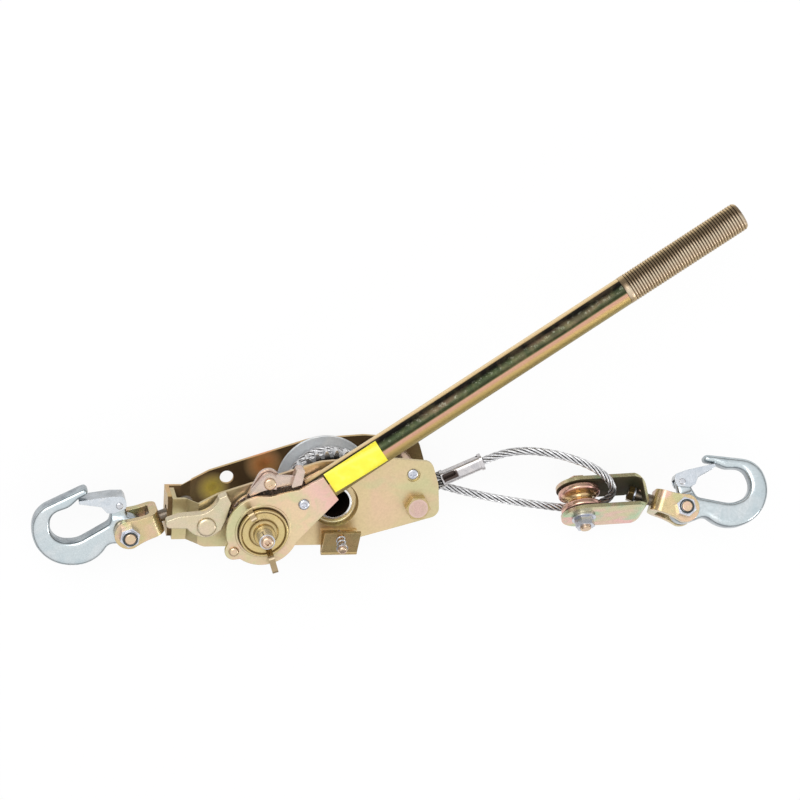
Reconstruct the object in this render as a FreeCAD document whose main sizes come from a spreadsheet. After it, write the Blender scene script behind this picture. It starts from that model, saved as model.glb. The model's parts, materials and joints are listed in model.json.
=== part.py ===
import FreeCAD, Part
import math
import os
import re
import Sketcher
from FreeCAD import Placement, Rotation, Vector

os.makedirs("parts", exist_ok=True)
doc = FreeCAD.newDocument("ComeAlongWinch")

# Every driving dimension, in millimetres or degrees, lives in one sheet, piece by piece.
# The winch's own axes start on the drum's axis, in the outer face of the front side plate:
# X runs along the rope, Y across the plates and Z out of the front plate.
frame_sizes = {
    "plate_thickness": 3, "frame_width": 49, "joggle_depth": 10, "joggle_run": 8,
    "joggle_left": -96, "wall_left": -117, "wall_low": -29.5, "wall_high": 1,
    "wall_corner": 4, "swivel_hole_radius": 6, "swivel_hole_low": -15,
    "drum_hole_radius": 17, "collar_wall": 2.5, "collar_depth": 8.5,
    "hanging_hole_radius": 5, "hanging_hole_left": -71.3, "hanging_hole_up": 3.2,
    "shaft_clearance": 0.06, "running_gap": 0.3, "pin_clearance": 0.05,
}
drum_sizes = {
    "tube_radius": 12.6, "tube_bore": 10.8, "tube_setback": 2,
    "gear_module": 2.25, "gear_teeth": 31, "pinion_teeth": 18, "pressure_angle": 20,
    "backlash": 0.3, "gear_face_depth": 9.5, "gear_width": 7, "pinion_overhang": 1,
    "flange_radius": 35.4, "flange_thickness": 2, "core_radius": 23,
    "rope_radius": 3, "winding_gap": 0.2, "winding_pitch": 6.6, "winding_clear": 0.95,
    "winding_exit_angle": 74,
}
pinion_sizes = {
    "axis_angle": 193.03, "shaft_radius": 7, "shaft_tail": 3.5, "clip_thickness": 1.2,
    "clip_radius": 9.5, "clip_groove": 5.8,
    "wheel_bottom": 6.25, "wheel_width": 8, "wheel_radius": 24.6, "wheel_root": 20.8,
    "wheel_teeth": 24, "stub_radius": 5.6, "stub_end": 38,
    "knob_bottom": 19, "knob_radius": 17.4, "knob_thickness": 2.5, "knob_rim": 1.6,
    "knob_rim_height": 1.4, "knob_hub_radius": 7.8, "knob_hub_end": 27,
    "wing_thickness": 4.2, "wing_height": 9, "wing_inner": 12.5, "wing_short": 22,
    "wing_long": 29, "knob_screw_radius": 4.5, "knob_screw_height": 2.6,
    "knob_screw_shank": 2.4,
}
handle_sizes = {
    "handle_angle": 35.25, "handle_rear_level": 2.5, "handle_front_level": 15,
    "handle_head_radius": 24, "handle_front_radius": 25.8, "handle_neck": 56,
    "handle_neck_half": 11.6,
    "handle_neck_top": 8.8, "handle_waist": 37, "handle_waist_half": 10.8,
    "ear_reach": 24.9, "ear_radius": 6.3, "pawl_ear_radius": 8, "pawl_ear_x": 22.5,
    "pawl_ear_y": 25, "handle_rim_width": 2.2, "handle_rim_height": 0.8,
    "handle_tube_radius": 10.2, "handle_tube_wall": 1.8, "tube_flat_start": 43,
    "tube_flat_half_width": 10.8, "tube_fit": 0.03, "handle_round_from": 104,
    "grip_start": 303, "handle_length": 400.5, "grip_radius": 10.5, "grip_root": 10.1,
    "grip_bore": 8.2, "grip_ribs": 46, "neck_rivet_x": 34.2, "neck_rivet_radius": 4.2,
    "neck_rivet_shank": 3,
    "ear_rivet_radius": 3.7, "sticker_start": 57, "sticker_length": 43,
    "sticker_width": 16, "sticker_shift": 1.4, "sticker_thickness": 0.3,
}
pawl_sizes = {
    "pawl_level": 4, "pawl_width": 8, "pawl_pin_x": -92.5, "pawl_pin_y": -11.3,
    "pawl_pin_radius": 4, "pawl_head_radius": 6.7, "pawl_head_height": 2,
    "drive_pawl_level": 6.5, "drive_pawl_width": 7, "drive_pin_radius": 2.5,
    "drive_pin_head": 4.2, "drive_pin_head_height": 1.8,
}
hardware_sizes = {
    "anchor_x": 59.5, "anchor_y": -1.8, "anchor_radius": 5, "anchor_flats": 16,
    "anchor_head_height": 6.4, "anchor_nut_height": 8, "tip_proud": 0.8, "spacer_x": 55.4, "spacer_y": 21.6,
    "spacer_bolt_radius": 2.5, "spacer_head_radius": 4, "spacer_head_height": 1.5,
    "counterbore_radius": 5.2, "counterbore_depth": 1.8,
    "spacer_nut_flats": 8, "spacer_nut_height": 4, "spacer_tube_radius": 5,
    "tab_left": -9, "tab_right": 16.8, "tab_sheet": 2, "tab_tilt": 27,
    "tab_screw_x": 2.4, "tab_screw_y": -19.5, "tab_screw_level": 14.7,
    "tab_screw_radius": 1.7, "tab_screw_head": 3.4, "tab_screw_head_height": 2.6,
    "tab_spring_wire": 0.6, "tab_spring_radius": 2.9, "tab_spring_pitch": 3.4,
    "tab_spring_turns": 2.25, "tab_washer_radius": 4.1, "tab_washer_thickness": 1,
}
end_sizes = {
    "bolt_distance": 31.5, "clevis_arm": 6, "clevis_gap": 16.4, "clevis_half": 8.2,
    "clevis_lobe": 10.5, "clevis_bend": 8, "base_gap": 7.5,
    "swivel_radius": 4.2, "swivel_tail_radius": 6, "swivel_tail_height": 3.5,
    "swivel_ball_radius": 8, "swivel_ball_centre": 12, "swivel_nut_flats": 10.5,
    "swivel_washer_start": 5.4, "swivel_washer_radius": 5.6, "swivel_washer_thickness": 1.4,
    "swivel_nut_length": 4, "clevis_bolt_radius": 4,
    "clevis_bolt_flats": 13, "clevis_head_height": 5.3, "clevis_nut_height": 5,
    "clevis_collar_height": 2, "clevis_collar_radius": 5.6, "clevis_bolt_proud": 0.8,
    "anchor_angle": 21, "anchor_hook_angle": 0,
}
hook_sizes = {
    "hook_thickness": 13, "hook_eye_radius": 10.5, "hook_edge": 2.7, "lug_thickness": 9,
    "latch_pin_x": -7, "latch_pin_y": 19.5, "latch_pin_radius": 1.5, "lug_radius": 4.6,
    "latch_width": 14, "latch_sheet": 2, "latch_length": 28.2, "latch_depth": 7,
    "latch_pin_head": 2.4, "latch_pin_head_height": 0.9,
}
block_sizes = {
    "block_x": 190.5, "block_y": -9.8, "block_roll": 43, "block_tilt": 3,
    "sheave_radius": 15.5, "sheave_width": 18.5, "sheave_groove_bottom": 9.3,
    "sheave_bush_radius": 6.4, "sheave_rim_round": 2.2, "axle_radius": 4,
    "bracket_thickness": 3, "bracket_gap": 20, "bracket_half": 16.5, "bracket_length": 49,
    "bracket_bend": 8, "bracket_end_half": 11, "web_hole_radius": 6, "axle_flats": 13,
    "axle_washer_radius": 9, "axle_washer_thickness": 1.6, "axle_head_height": 5.3,
    "axle_nut_height": 6.5, "axle_proud": 2,
    "pull_yaw": -10.5, "pull_roll": -30, "pull_angle": -14.5, "pull_hook_angle": 24,
}
rope_sizes = {
    "ferrule_half_width": 5.6, "ferrule_half_thickness": 4.4, "ferrule_lip": 2.2,
    "ferrule_start": 25.5, "ferrule_length": 32.6,
    "ferrule_angle": 24.6, "leg_offset": 3.15, "eye_clearance": 0.25,
    "dead_end_radius": 1.25, "run_offset": 0, "dead_end_offset": 4.7,
}
groups = (frame_sizes, drum_sizes, pinion_sizes, handle_sizes, pawl_sizes,
          hardware_sizes, end_sizes, hook_sizes, block_sizes, rope_sizes)

sheet = doc.addObject("Spreadsheet::Sheet", "Sizes")
size = {}
for group in groups:
    for name, value in group.items():
        size[name] = value
        row = str(len(size))
        sheet.set("A" + row, name)
        sheet.set("B" + row, str(value))
        sheet.setAlias("B" + row, name)
doc.recompute()


def words(text):
    """A sum of sheet names, written as an expression of the sheet."""
    return re.sub(r"[a-z][a-z_]*", lambda found: "Sizes." + found.group(), str(text))


# Places. Each sub-part keeps its own Placement, built from these.
pieces = []
middle = -size["frame_width"] / 2
along_x = Vector(1, 0, 0)
along_y = Vector(0, 1, 0)
along_z = Vector(0, 0, 1)


def turn_about(axis, angle):
    return Placement(Vector(), Rotation(axis, angle))


def move_to(x, y, z):
    return Placement(Vector(x, y, z), Rotation())


centre_distance = size["gear_module"] * (size["gear_teeth"] + size["pinion_teeth"]) / 2
axis_angle = math.radians(size["axis_angle"])
winch_place = move_to(0, 0, 0)
pinion_place = move_to(centre_distance * math.cos(axis_angle),
                       centre_distance * math.sin(axis_angle), 0)
handle_place = pinion_place * turn_about(along_z, size["handle_angle"])


# Drawing and feature helpers.
def new_body(label, place):
    owner = doc.addObject("PartDesign::Body", label)
    owner.Label = label
    owner.Placement = place
    pieces.append(owner)
    return owner


def draw(owner, plane="XY_Plane", level="0", turned=0, placed=None):
    """A sketch on one of the body's planes, raised by level or turned about its upright axis."""
    found = [item for item in owner.Origin.OriginFeatures if item.Role == plane][0]
    sketch = owner.newObject("Sketcher::SketchObject", owner.Name + "Sketch")
    sketch.AttachmentSupport = [(found, "")]
    sketch.MapMode = "FlatFace"
    sketch.AttachmentOffset = placed or Placement(Vector(), Rotation(along_y, turned))
    if not placed:
        sketch.setExpression("AttachmentOffset.Base.z", words(level))
    return sketch


def circle(sketch, x, y, radius):
    """A circle whose radius is bound to a sum of sheet names."""
    index = sketch.addGeometry(Part.Circle(Vector(x, y, 0), along_z, 1), False)
    number = sketch.addConstraint(Sketcher.Constraint("Radius", index, 1))
    sketch.setExpression("Constraints[%d]" % number, words(radius))


def path(sketch, start, steps):
    """A closed outline: a step (x, y) is a line, and (mx, my, x, y) an arc through its middle point."""
    here = Vector(start[0], start[1], 0)
    for step in list(steps) + [start]:
        there = Vector(step[-2], step[-1], 0)
        if (there - here).Length < 1e-6:
            continue
        if len(step) == 4:
            sketch.addGeometry(Part.Arc(here, Vector(step[0], step[1], 0), there), False)
        else:
            sketch.addGeometry(Part.LineSegment(here, there), False)
        here = there


def rounded(corners):
    """The start and steps of an outline of corners (x, y, radius)."""
    steps = []
    count = len(corners)
    for index, (x, y, radius) in enumerate(corners):
        here = Vector(x, y, 0)
        before = Vector(corners[index - 1][0], corners[index - 1][1], 0) - here
        after_corner = corners[(index + 1) % count]
        after = Vector(after_corner[0], after_corner[1], 0) - here
        if radius == 0:
            steps.append((x, y))
            continue
        before.normalize()
        after.normalize()
        half = before.getAngle(after) / 2
        reach = radius / math.tan(half)
        split = before + after
        split.normalize()
        first = here + before * reach
        last = here + after * reach
        crown = here + split * (radius / math.sin(half) - radius)
        steps.append((first.x, first.y))
        steps.append((crown.x, crown.y, last.x, last.y))
    return steps[0], steps[1:]


def slab(left, low, right, high, radius=0):
    """A rectangle with rounded corners."""
    return rounded([(left, low, radius), (right, low, radius),
                    (right, high, radius), (left, high, radius)])


def hexagon(flats):
    """A hexagon from its distance across flats."""
    reach = flats / math.sqrt(3)
    turns = [math.radians(60 * number) for number in range(6)]
    points = [(reach * math.cos(turn), reach * math.sin(turn)) for turn in turns]
    return points[0], points[1:]


def pad(owner, sketch, length, both=False, down=False):
    feature = owner.newObject("PartDesign::Pad", owner.Name + "Pad")
    feature.Profile = sketch
    feature.Midplane = both
    feature.Reversed = down
    feature.setExpression("Length", words(length))
    doc.recompute()
    return feature


def pocket(owner, sketch, depth=None, both=False):
    """A cut right through both ways; with a depth, down from the sketch or half to each side."""
    before = owner.Shape.Volume
    feature = owner.newObject("PartDesign::Pocket", owner.Name + "Pocket")
    feature.Profile = sketch
    if depth is None:
        feature.Type = "ThroughAll"
        feature.SideType = "Symmetric"
    else:
        feature.SideType = "Symmetric" if both else "One side"
        feature.setExpression("Length", words(depth))
    doc.recompute()
    if not owner.Shape.Volume < before - 0.01:
        raise ValueError("nothing was cut from " + owner.Label)
    return feature


def spin(owner, sketch, axis="V_Axis"):
    """The sketch turned once about its upright or its level axis."""
    feature = owner.newObject("PartDesign::Revolution", owner.Name + "Turned")
    feature.Profile = sketch
    feature.ReferenceAxis = (sketch, [axis])
    feature.Angle = 360
    doc.recompute()
    return feature


def ring(owner, feature, count):
    """Copies of one feature about the body's Z axis."""
    axis = [item for item in owner.Origin.OriginFeatures if item.Role == "Z_Axis"][0]
    pattern = owner.newObject("PartDesign::PolarPattern", owner.Name + "Ring")
    pattern.Originals = [feature]
    pattern.Axis = (axis, [""])
    pattern.Angle = 360
    pattern.setExpression("Occurrences", words(count))
    owner.Tip = pattern
    doc.recompute()
    return pattern


def ease(owner, kind, radius, chosen):
    """A fillet or chamfer on the edges that the test chooses, by their middle and length."""
    before = owner.Tip
    names = []
    for number, edge in enumerate(before.Shape.Edges):
        centre = edge.valueAt((edge.FirstParameter + edge.LastParameter) / 2)
        if chosen(edge, centre):
            names.append("Edge%d" % (number + 1))
    if not names:
        raise ValueError("no edge was found on " + owner.Label)
    feature = owner.newObject("PartDesign::" + kind, owner.Name + kind)
    feature.Base = (before, names)
    feature.setExpression("Radius" if kind == "Fillet" else "Size", words(radius))
    doc.recompute()
    if feature.Shape.isNull() or not feature.Shape.isValid():
        raise ValueError("an edge could not be eased on " + owner.Label)
    return feature


def turned_part(label, place, start, steps, axis="V_Axis"):
    """A piece turned on a lathe from its half section."""
    owner = new_body(label, place)
    section = draw(owner, "XZ_Plane")
    path(section, start, steps)
    spin(owner, section, axis)
    return owner


def solid_part(label, place, shape):
    """A piece whose shape is worked out directly."""
    owner = doc.addObject("Part::Feature", label)
    owner.Label = label
    owner.Shape = shape
    owner.Placement = place
    pieces.append(owner)
    return owner


def tangent_arc(here, direction, there):
    """The arc that leaves here along direction and ends at there."""
    chord = there - here
    along = Vector(direction)
    along.normalize()
    side = chord - along * chord.dot(along)
    if side.Length < 1e-7:
        return Part.LineSegment(here, there)
    side.normalize()
    radius = chord.Length ** 2 / (2 * chord.dot(side))
    centre = here + side * radius
    spoke = (here + there) * 0.5 - centre
    spoke.normalize()
    return Part.Arc(here, centre + spoke * radius, there)


def biarc(here, leaving, there, arriving):
    """Two arcs that join smoothly, from one point and direction to another."""
    chord = there - here
    total = leaving + arriving
    spread = 2 * (1 - leaving.dot(arriving))
    along = chord.dot(total)
    reach = (-along + math.sqrt(along ** 2 + 2 * spread / 2 * 2 * chord.dot(chord) / 2)) / spread
    if spread < 1e-9:
        reach = chord.dot(chord) / (4 * chord.dot(arriving))
    joint = (here + leaving * reach + there - arriving * reach) * 0.5
    first = tangent_arc(here, leaving, joint)
    last = tangent_arc(there, arriving * -1, joint)
    return [first, last]


def tube_along(edges, radius):
    """A solid round bar along a chain of edges."""
    wire = Part.Wire([edge.toShape() for edge in edges])
    first = edges[0]
    begin = first.StartPoint
    heading = first.tangent(first.FirstParameter)[0]
    section = Part.Wire([Part.Circle(begin, heading, radius).toShape()])
    shell = Part.BRepOffsetAPI.MakePipeShell(wire)
    shell.add(section, False, False)
    shell.build()
    shell.makeSolid()
    solid = shell.shape()
    return Part.Solid(solid) if solid.ShapeType != "Solid" else solid


def coil(radius, pitch, turns, start_angle, start_level, wire, ends, clockwise=False):
    """A helical bar with straight ends, and the least gap between its own turns."""
    quarters = int(round(turns * 4))
    sign = -1 if clockwise else 1
    slope = pitch / (2 * math.pi * radius)

    def at(quarter):
        angle = math.radians(start_angle) + sign * quarter * math.pi / 2
        point = Vector(radius * math.cos(angle), radius * math.sin(angle),
                       start_level + pitch * quarter / 4)
        heading = Vector(-sign * math.sin(angle), sign * math.cos(angle), slope)
        heading.normalize()
        return point, heading

    edges = []
    first, leaving = at(0)
    edges.append(Part.LineSegment(first - leaving * ends, first))
    for quarter in range(quarters):
        here, away = at(quarter)
        there, toward = at(quarter + 1)
        edges.extend(biarc(here, away, there, toward))
    last, arriving = at(quarters)
    edges.append(Part.LineSegment(last, last + arriving * ends))
    gap = abs(pitch) * math.cos(math.atan(slope)) - 2 * wire
    print("coil of %.2f turns, least gap to itself %.2f mm" % (turns, gap))
    return tube_along(edges, wire), last + arriving * ends, arriving


# The two side plates, each with one end joggled inward and turned across to make the end wall.
plate_outline = [(-97, size["wall_low"], 3), (-92, -31.2, 4), (0, -31.2, 25), (49, -17.5, 15),
                 (76.8, -9.5, 7), (74.5, 14, 20), (68.5, 31.5, 7), (28, 35, 30),
                 (-12, 32, 20), (-84, 8.2, 6), (-97, size["wall_high"], 2)]
pinion_x = pinion_place.Base.x
pinion_y = pinion_place.Base.y


def side_plate(label, front):
    owner = new_body(label, winch_place)
    sheet_level = "-plate_thickness" if front else "-frame_width"
    flat = draw(owner, level=sheet_level)
    path(flat, *rounded(plate_outline))
    pad(owner, flat, "plate_thickness")

    # The joggle and the end wall are one bent band of the same sheet.
    side = 1 if front else -1
    face = 0 if front else -size["frame_width"]
    thick = size["plate_thickness"]
    inner = face - side * size["joggle_depth"]
    start_x = size["joggle_left"]
    step_x = start_x - size["joggle_run"]
    outer_x = size["wall_left"] + (thick if front else 0)
    reach = size["frame_width"] - size["joggle_depth"] - thick - 0.5
    wall_end = face - side * reach
    skew = thick * 0.5
    band = draw(owner, "XZ_Plane", "-wall_low")
    path(band, (start_x, face), [
        (step_x, inner), (outer_x, inner), (outer_x, wall_end), (outer_x + thick, wall_end),
        (outer_x + thick, inner - side * thick), (step_x - skew, inner - side * thick),
        (start_x - skew, face - side * thick), (start_x, face - side * thick)])
    pad(owner, band, "wall_high - wall_low", down=True)
    ease(owner, "Fillet", "wall_corner", lambda edge, centre:
         abs(centre.x - outer_x - thick / 2) < 0.1 and edge.Length < thick + 0.1
         and abs(centre.z - wall_end) < 0.1)

    # Holes: the swivel through the wall, then the bolts, the pinion shaft and the drum.
    wall_hole = draw(owner, "YZ_Plane")
    circle(wall_hole, size["swivel_hole_low"], middle, "swivel_hole_radius")
    pocket(owner, wall_hole)
    holes = draw(owner)
    circle(holes, size["anchor_x"], size["anchor_y"], "anchor_radius + pin_clearance")
    circle(holes, size["spacer_x"], size["spacer_y"], "spacer_bolt_radius + pin_clearance")
    circle(holes, pinion_x, pinion_y, "shaft_radius + shaft_clearance")
    if front:
        circle(holes, 0, 0, "drum_hole_radius")
        circle(holes, size["pawl_pin_x"], size["pawl_pin_y"], "pawl_pin_radius + pin_clearance")
    else:
        circle(holes, 0, 0, "tube_radius + shaft_clearance")
        circle(holes, size["hanging_hole_left"], size["hanging_hole_up"], "hanging_hole_radius")
    pocket(owner, holes)
    if not front:
        return owner
    recess = draw(owner)
    circle(recess, size["spacer_x"], size["spacer_y"], "counterbore_radius")
    pocket(owner, recess, "counterbore_depth")

    # The front plate's collar is drawn inward to carry the drum tube.
    bearing = size["tube_radius"] + size["shaft_clearance"]
    rim = size["drum_hole_radius"]
    outside = rim + size["collar_wall"]
    foot = -size["collar_depth"]
    shelf = foot + size["collar_wall"]
    collar = draw(owner, "XZ_Plane")
    path(collar, (rim, -0.6), [
        (outside, -0.6), (outside, foot + 2.5), (outside - 0.7, foot + 0.7, outside - 2.5, foot),
        (bearing, foot), (bearing, shelf), (rim - 2, shelf),
        (rim - 0.6, shelf + 0.6, rim, shelf + 2)])
    spin(owner, collar)
    return owner


front_plate = side_plate("side_plate_front", True)
rear_plate = side_plate("side_plate_rear", False)


# Screws, bolts, nuts and washers.
def hex_prism(owner, flats, height, level, bore=None):
    outline = draw(owner, level=level)
    path(outline, *hexagon(size[flats]))
    if bore:
        circle(outline, 0, 0, bore)
    pad(owner, outline, height)


def hex_bolt(label, place, flats, head, shank, length):
    """A bolt along Z with its head below the origin and its shank above."""
    owner = new_body(label, place)
    hex_prism(owner, flats, head, "-" + head)
    stem = draw(owner)
    circle(stem, 0, 0, shank)
    pad(owner, stem, length)
    ease(owner, "Chamfer", "pin_clearance * 10", lambda edge, centre:
         centre.z > 1 and abs(edge.Length - 2 * math.pi * size[shank]) < 0.1)
    return owner


def lock_nut(label, place, flats, height, bore, collar=None, collar_radius=None):
    """A nut along Z from the origin, with a round collar above it where it has one."""
    owner = new_body(label, place)
    hex_prism(owner, flats, height, "0", bore + " + pin_clearance")
    if collar:
        ridge = draw(owner, level=height)
        circle(ridge, 0, 0, collar_radius)
        circle(ridge, 0, 0, bore + " + pin_clearance")
        pad(owner, ridge, collar)
    return owner


def washer(label, place, outer, thickness, bore):
    owner = new_body(label, place)
    face = draw(owner)
    circle(face, 0, 0, outer)
    circle(face, 0, 0, bore)
    pad(owner, face, thickness)
    return owner


back = -size["frame_width"]
anchor_axis = move_to(size["anchor_x"], size["anchor_y"], 0)
hex_bolt("rope_anchor_bolt", anchor_axis * turn_about(along_x, 180), "anchor_flats",
         "anchor_head_height", "anchor_radius", "frame_width + anchor_nut_height + tip_proud")
lock_nut("rope_anchor_nut", anchor_axis * move_to(0, 0, back - size["anchor_nut_height"]),
         "anchor_flats", "anchor_nut_height", "anchor_radius")

spacer_place = move_to(size["spacer_x"], size["spacer_y"], 0)
spacer_bolt = new_body("spacer_bolt", spacer_place)
head_r = size["spacer_head_radius"]
head_h = size["spacer_head_height"]
stem_r = size["spacer_bolt_radius"]
stem_end = back - size["spacer_nut_height"] + 0.2
seat = -size["counterbore_depth"]
section = draw(spacer_bolt, "XZ_Plane")
path(section, (0, stem_end), [
    (stem_r, stem_end), (stem_r, seat), (head_r, seat), (head_r, seat + head_h * 0.4),
    (head_r * 0.85, seat + head_h * 0.8, head_r * 0.55, seat + head_h), (0, seat + head_h)])
spin(spacer_bolt, section)


def cross_recess(owner, arm, depth, level):
    """A plus-shaped recess in the head of a screw."""
    wide = arm * 0.3
    mark = draw(owner, level=level)
    path(mark, (-wide, -arm), [(wide, -arm), (wide, -wide), (arm, -wide), (arm, wide), (wide, wide),
                               (wide, arm), (-wide, arm), (-wide, wide), (-arm, wide),
                               (-arm, -wide), (-wide, -wide)])
    pocket(owner, mark, depth)


cross_recess(spacer_bolt, 2.2, 1, "spacer_head_height - counterbore_depth")
lock_nut("spacer_nut", move_to(size["spacer_x"], size["spacer_y"], back - size["spacer_nut_height"]),
         "spacer_nut_flats", "spacer_nut_height", "spacer_bolt_radius")
spacer_tube = new_body("spacer_tube", spacer_place)
section = draw(spacer_tube, level="plate_thickness - frame_width")
circle(section, 0, 0, "spacer_tube_radius")
circle(section, 0, 0, "spacer_bolt_radius + pin_clearance * 4")
pad(spacer_tube, section, "frame_width - plate_thickness * 2")

# The tongue below the drum: a strip folded off the front plate, with a sprung screw in its face.
tilt = math.radians(size["tab_tilt"])
sheet_t = size["tab_sheet"]
guard_tab = new_body("guard_tab", winch_place)
slope_x = -math.sin(tilt)
slope_y = math.cos(tilt)
face_top = Vector(-15.6, size["tab_screw_level"] + 2.2, 0)
face_low = face_top + Vector(-math.cos(tilt), -math.sin(tilt), 0) * 22
under = Vector(slope_x, slope_y, 0) * -sheet_t
strip = draw(guard_tab, "YZ_Plane", "tab_left")
path(strip, (face_top.x, face_top.y), [
    (face_low.x + 1.2, face_low.y + 0.6), (face_low.x - 1.6, face_low.y - 2.2, -33.2, 2.6),
    (-28.5, 0), (-19, 0), (-19, sheet_t), (-28, sheet_t), (-32.4, 4.2),
    (face_low.x + 0.9, face_low.y - 1.2, face_low.x + under.x + 2.4, face_low.y + under.y + 1.2),
    (face_top.x + under.x, face_top.y + under.y)])
pad(guard_tab, strip, "tab_right - tab_left")
screw_place = (move_to(size["tab_screw_x"], size["tab_screw_y"], size["tab_screw_level"])
               * turn_about(along_x, size["tab_tilt"]))
hole = draw(guard_tab, placed=screw_place)
circle(hole, 0, 0, "tab_screw_radius + pin_clearance * 2")
pocket(guard_tab, hole)
spring_height = size["tab_spring_pitch"] * size["tab_spring_turns"] + 2 * size["tab_spring_wire"] + 0.7
screw_r = size["tab_screw_radius"]
screw_head = size["tab_screw_head"]
screw_top = spring_height + size["tab_washer_thickness"]
head_end = screw_top + size["tab_screw_head_height"]
guard_screw = turned_part("guard_screw", screw_place, (0, -6), [
    (screw_r - 0.4, -6), (screw_r, -5), (screw_r, screw_top), (screw_head, screw_top),
    (screw_head, screw_top + 1), (screw_head * 0.8, head_end - 0.35, screw_head * 0.4, head_end),
    (0, head_end)])
guard_washer = new_body("guard_washer", screw_place)
section = draw(guard_washer)
section.AttachmentOffset = Placement(Vector(0, 0, spring_height), Rotation())
section.setExpression("AttachmentOffset.Base.z",
                      words("tab_spring_pitch * tab_spring_turns + tab_spring_wire * 2 + 0.7"))
circle(section, 0, 0, "tab_washer_radius")
circle(section, 0, 0, "tab_screw_radius + pin_clearance * 2")
pad(guard_washer, section, "tab_washer_thickness")
spring, _, _ = coil(size["tab_spring_radius"], size["tab_spring_pitch"], size["tab_spring_turns"],
                    0, size["tab_spring_wire"] + 0.35, size["tab_spring_wire"],
                    2 * size["tab_spring_wire"])
solid_part("guard_spring", screw_place, spring)


# The drum: its bearing tube, the gear, the plain core, the rear flange and the rope wound on it.
def gear_tooth(teeth):
    """One involute tooth, centred on the X axis, as a start and steps."""
    module = size["gear_module"]
    pressure = math.radians(size["pressure_angle"])
    pitch_r = module * teeth / 2
    base_r = pitch_r * math.cos(pressure)
    root_r = pitch_r - 1.25 * module
    tip_r = pitch_r + module

    def half_angle(radius):
        bend = math.acos(min(1, base_r / radius))
        whole = math.tan(pressure) - pressure + math.pi / (2 * teeth)
        return whole - size["backlash"] / (2 * pitch_r) - math.tan(bend) + bend

    def at(radius, side):
        angle = side * half_angle(max(radius, base_r))
        return (radius * math.cos(angle), radius * math.sin(angle))

    foot_r = max(base_r, root_r)
    belly_r = (foot_r + tip_r) / 2
    start = at(root_r - 0.4, -1)
    return start, [at(foot_r, -1), at(belly_r, -1) + at(tip_r, -1), at(tip_r, 1),
                   at(belly_r, 1) + at(foot_r, 1), at(root_r - 0.4, 1)]


def toothed_wheel(label, place, teeth_name, level, width, bore):
    owner = new_body(label, place)
    teeth = size[teeth_name]
    blank = draw(owner, level=level)
    circle(blank, 0, 0, "gear_module * (%s / 2 - 1.25)" % teeth_name)
    circle(blank, 0, 0, bore)
    pad(owner, blank, width)
    tooth = draw(owner, level=level)
    path(tooth, *gear_tooth(teeth))
    ring(owner, pad(owner, tooth, width), teeth_name)
    return owner


drum_tube = new_body("drum_tube", winch_place)
section = draw(drum_tube, level="-frame_width + pin_clearance * 10")
circle(section, 0, 0, "tube_radius")
circle(section, 0, 0, "tube_bore")
pad(drum_tube, section, "frame_width - pin_clearance * 10 - tube_setback")

# The gear has a tooth on the line to the pinion, and the pinion a space.
drum_turn = turn_about(along_z, size["axis_angle"])
toothed_wheel("drum_gear", winch_place * drum_turn, "gear_teeth",
              "-gear_face_depth - gear_width", "gear_width", "tube_radius + pin_clearance")
half_pitch = 180.0 / size["pinion_teeth"]
pinion_turn = turn_about(along_z, size["axis_angle"] + 180 + half_pitch)
toothed_wheel("pinion_gear", pinion_place * pinion_turn, "pinion_teeth",
              "-gear_face_depth - gear_width - pinion_overhang",
              "gear_width + pinion_overhang * 2", "shaft_radius + pin_clearance")

flange_back = "plate_thickness - frame_width + running_gap"
drum_flange = new_body("drum_flange", winch_place)
section = draw(drum_flange, level=flange_back)
circle(section, 0, 0, "flange_radius")
circle(section, 0, 0, "tube_radius + pin_clearance")
pad(drum_flange, section, "flange_thickness")
ease(drum_flange, "Fillet", "flange_thickness * 0.3", lambda edge, centre:
     abs(edge.Length - 2 * math.pi * size["flange_radius"]) < 0.1)

drum_core = new_body("drum_core", winch_place)
section = draw(drum_core, level=flange_back + " + flange_thickness")
circle(section, 0, 0, "core_radius")
circle(section, 0, 0, "tube_radius + pin_clearance")
pad(drum_core, section,
    "frame_width - plate_thickness - running_gap - flange_thickness - gear_face_depth - gear_width")

# The rope's outer layer, wound clockwise toward the rear flange, leaves the drum over its top.
rope_r = size["rope_radius"]
winding_r = size["core_radius"] + size["winding_gap"] + rope_r
flange_face = (size["plate_thickness"] - size["frame_width"] + size["running_gap"]
               + size["flange_thickness"])
gear_back = -size["gear_face_depth"] - size["gear_width"]
winding_end = flange_face + rope_r + size["winding_clear"]
room = gear_back - rope_r - size["running_gap"] - winding_end
winding_turns = math.floor(4 * room / size["winding_pitch"]) / 4
winding_start = size["winding_exit_angle"] + 360 * winding_turns
winding_level = winding_end + size["winding_pitch"] * winding_turns
winding, rope_exit, rope_heading = coil(
    winding_r, -size["winding_pitch"], winding_turns, winding_start, winding_level,
    rope_r, 2 * rope_r, clockwise=True)
solid_part("rope_winding", winch_place, winding)


# The pinion's shaft carries the ratchet wheel and, in front of the handle, the winged knob.
shaft_r = size["shaft_radius"]
stub_r = size["stub_radius"]
tail_end = back - size["shaft_tail"]
groove_top = back - size["running_gap"] - size["pin_clearance"]
groove_low = groove_top - size["clip_thickness"] - size["pin_clearance"]
turned_part("pinion_shaft", pinion_place, (0, tail_end), [
    (shaft_r - 0.6, tail_end), (shaft_r, tail_end + 0.6), (shaft_r, groove_low),
    (size["clip_groove"], groove_low), (size["clip_groove"], groove_top), (shaft_r, groove_top),
    (shaft_r, size["knob_bottom"]), (stub_r, size["knob_bottom"]), (stub_r, size["stub_end"]),
    (size["knob_screw_shank"] + 0.1, size["stub_end"]),
    (size["knob_screw_shank"] + 0.1, size["stub_end"] - 9), (0, size["stub_end"] - 9)])
clip = new_body("shaft_clip", pinion_place)
section = draw(clip, level="-frame_width - running_gap - pin_clearance * 2 - clip_thickness")
mouth = math.radians(22)
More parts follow.
